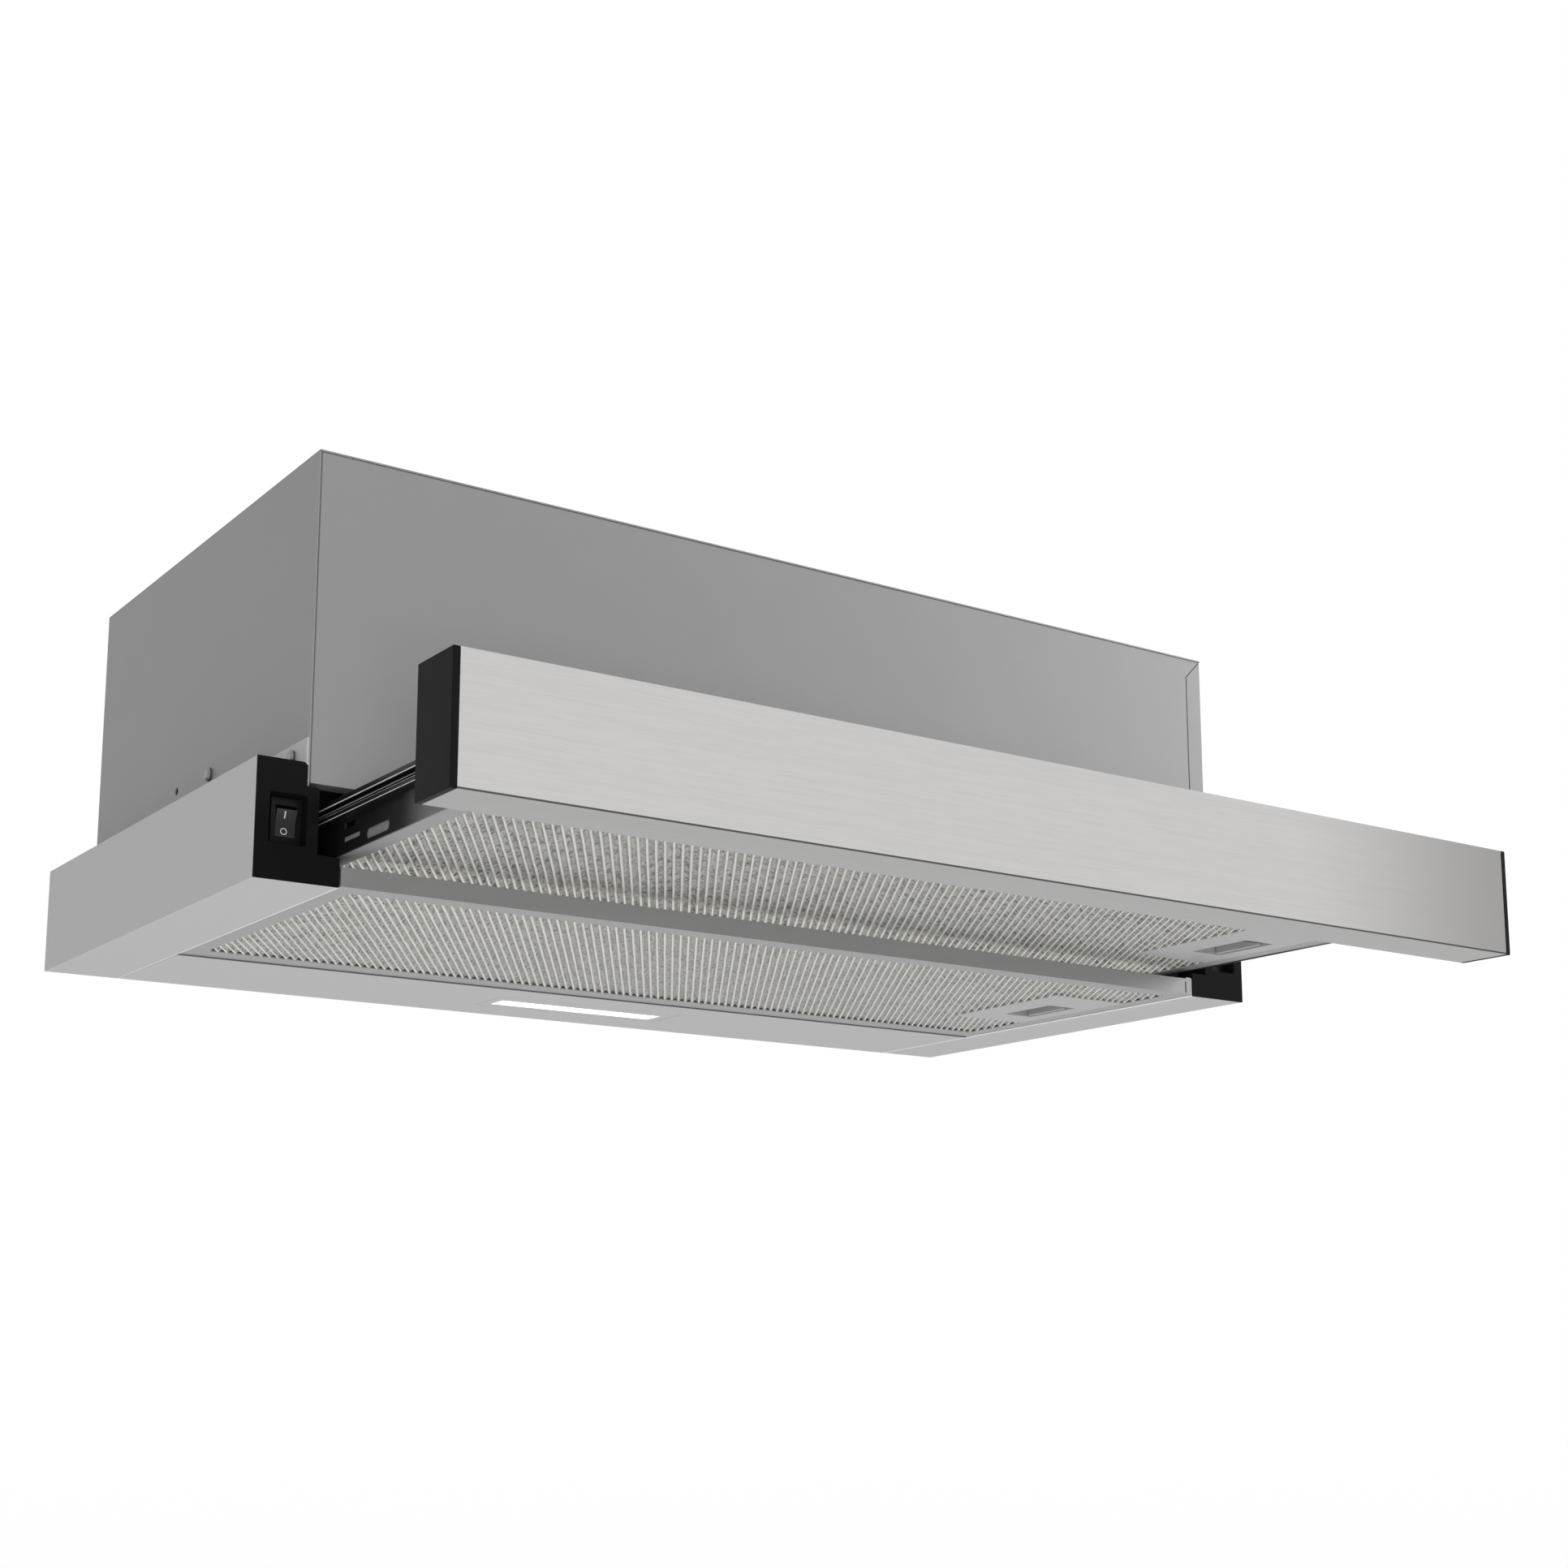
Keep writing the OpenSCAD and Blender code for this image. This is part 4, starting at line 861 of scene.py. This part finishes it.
class HOOD_OT_stage(PieceOperator, bpy.types.Operator):
    """Sets up the floor, the lamps and the camera"""

    bl_idname = "hood.stage"
    bl_label = "Studio"

    def build(self, context):
        studio = context.scene.hood_studio
        bpy.ops.mesh.primitive_plane_add(size=FLOOR_SIZE, location=(0, 0, -studio.floor))
        floor = context.active_object
        floor.name = "studio_floor"
        floor.data.materials.append(floor_paint())
        room_light(context.scene, studio.ambient)
        for place, size, power in LAMPS:
            turn = (Vector(LAMP_AIM) - Vector(place)).to_track_quat("-Z", "Y").to_euler()
            area_lamp(place, turn, size, power)
        area_lamp(GAP_LAMP, (math.pi, 0, 0), GAP_LAMP_SIZE, GAP_LAMP_POWER).visible_camera = False
        bpy.ops.object.camera_add(location=studio.camera, rotation=studio.turn)
        camera = context.active_object
        camera.data.sensor_width = 36
        camera.data.lens = studio.lens
        camera.data.shift_y = studio.shift
        camera.data.clip_start = 0.01
        camera.data.clip_end = 100
        context.scene.camera = camera
        context.scene.view_settings.view_transform = "Standard"


# Place, size and power of each lamp: front left, below, front right, behind and above
LAMP_AIM = (0, -0.05, 0.08)
LAMPS = [
    ((-1.1, -1.9, -0.45), (0.6, 0.4), 15),
    ((-0.3, -0.5, -1.05), (2.4, 2.4), 9),
    ((0.85, -0.7, 0.3), (0.35, 0.35), 12),
    ((0.2, 1.8, 1.7), (1.6, 1.2), 10),
]
# A small lamp over the rear filter's front wall, which lights the mesh above it
GAP_LAMP = (0, -0.033, 0.0112)
GAP_LAMP_SIZE = (0.5, 0.03)
GAP_LAMP_POWER = 0.06
FLOOR_SIZE = 60
FLOOR_GREY = (0.9, 0.9, 0.9, 1)
FLOOR_GLOW = 0.5
WHITE = (1, 1, 1, 1)


def area_lamp(place, turn, size, power):
    """A rectangular lamp that metal doesn't mirror."""
    bpy.ops.object.light_add(type="AREA", location=place, rotation=turn)
    lamp = bpy.context.active_object
    lamp.data.shape = "RECTANGLE"
    lamp.data.size, lamp.data.size_y = size
    lamp.data.energy = power
    lamp.visible_glossy = False
    return lamp


def seen_rays(tree):
    """1 for what the camera, metal and glass see, and 0 for light on the object."""
    path = tree.nodes.new("ShaderNodeLightPath")
    socket = path.outputs["Is Camera Ray"]
    for kind in ("Is Glossy Ray", "Is Transmission Ray"):
        either = tree.nodes.new("ShaderNodeMath")
        either.operation = "MAXIMUM"
        tree.links.new(socket, either.inputs[0])
        tree.links.new(path.outputs[kind], either.inputs[1])
        socket = either.outputs[0]
    return socket


def times(tree, socket, factor):
    """The socket's value times a number."""
    product = tree.nodes.new("ShaderNodeMath")
    product.operation = "MULTIPLY"
    product.inputs[1].default_value = factor
    tree.links.new(socket, product.inputs[0])
    return product.outputs[0]


def floor_paint():
    """A matt floor that keeps the hood's shadow, lifted to white where it is seen."""
    material = bpy.data.materials.new("studio_floor")
    material.use_nodes = True
    tree = material.node_tree
    shader = tree.nodes["Principled BSDF"]
    shader.inputs["Base Color"].default_value = FLOOR_GREY
    shader.inputs["Roughness"].default_value = 0.9
    glow = tree.nodes.new("ShaderNodeEmission")
    tree.links.new(times(tree, seen_rays(tree), FLOOR_GLOW), glow.inputs["Strength"])
    both = tree.nodes.new("ShaderNodeAddShader")
    tree.links.new(shader.outputs[0], both.inputs[0])
    tree.links.new(glow.outputs[0], both.inputs[1])
    tree.links.new(both.outputs[0], tree.nodes["Material Output"].inputs["Surface"])
    return material


def room_light(scene, strength):
    """An even room of this strength, behind a white background."""
    world = bpy.data.worlds.new("studio")
    scene.world = world
    world.use_nodes = True
    tree = world.node_tree
    plain = tree.nodes["Background"]
    plain.inputs["Color"].default_value = WHITE
    plain.inputs["Strength"].default_value = strength
    white = tree.nodes.new("ShaderNodeBackground")
    mix = tree.nodes.new("ShaderNodeMixShader")
    white.inputs["Color"].default_value = WHITE
    tree.links.new(seen_rays(tree), mix.inputs[0])
    tree.links.new(plain.outputs[0], mix.inputs[1])
    tree.links.new(white.outputs[0], mix.inputs[2])
    tree.links.new(mix.outputs[0], tree.nodes["World Output"].inputs["Surface"])


OPERATORS = [HOOD_OT_finishes, HOOD_OT_folds, HOOD_OT_meshes, HOOD_OT_switch_marks, HOOD_OT_stage]
GROUPS = {"hood_finishes": HoodFinishes, "hood_sizes": HoodSizes, "hood_studio": HoodStudio}


class HOOD_PT_panel(bpy.types.Panel):
    """Lists the hood's settings and pieces"""

    bl_idname = "HOOD_PT_panel"
    bl_label = "Range hood"
    bl_space_type = "VIEW_3D"
    bl_region_type = "UI"
    bl_category = "Range hood"

    def draw(self, context):
        for name, group in GROUPS.items():
            settings = getattr(context.scene, name)
            for field in group.__annotations__:
                self.layout.prop(settings, field)
        for operator in OPERATORS:
            self.layout.operator(operator.bl_idname)


def register():
    for cls in (*GROUPS.values(), *OPERATORS, HOOD_PT_panel):
        bpy.utils.register_class(cls)
    for name, group in GROUPS.items():
        setattr(bpy.types.Scene, name, PointerProperty(type=group))


def unregister():
    for name in GROUPS:
        delattr(bpy.types.Scene, name)
    for cls in reversed((*GROUPS.values(), *OPERATORS, HOOD_PT_panel)):
        bpy.utils.unregister_class(cls)


def main():
    register()
    bpy.ops.object.select_all(action="DESELECT")
    bpy.ops.hood.finishes()
    bpy.ops.hood.folds()
    bpy.ops.hood.meshes()
    bpy.ops.hood.switch_marks()
    bpy.ops.hood.stage()


if __name__ == "__main__":
    main()
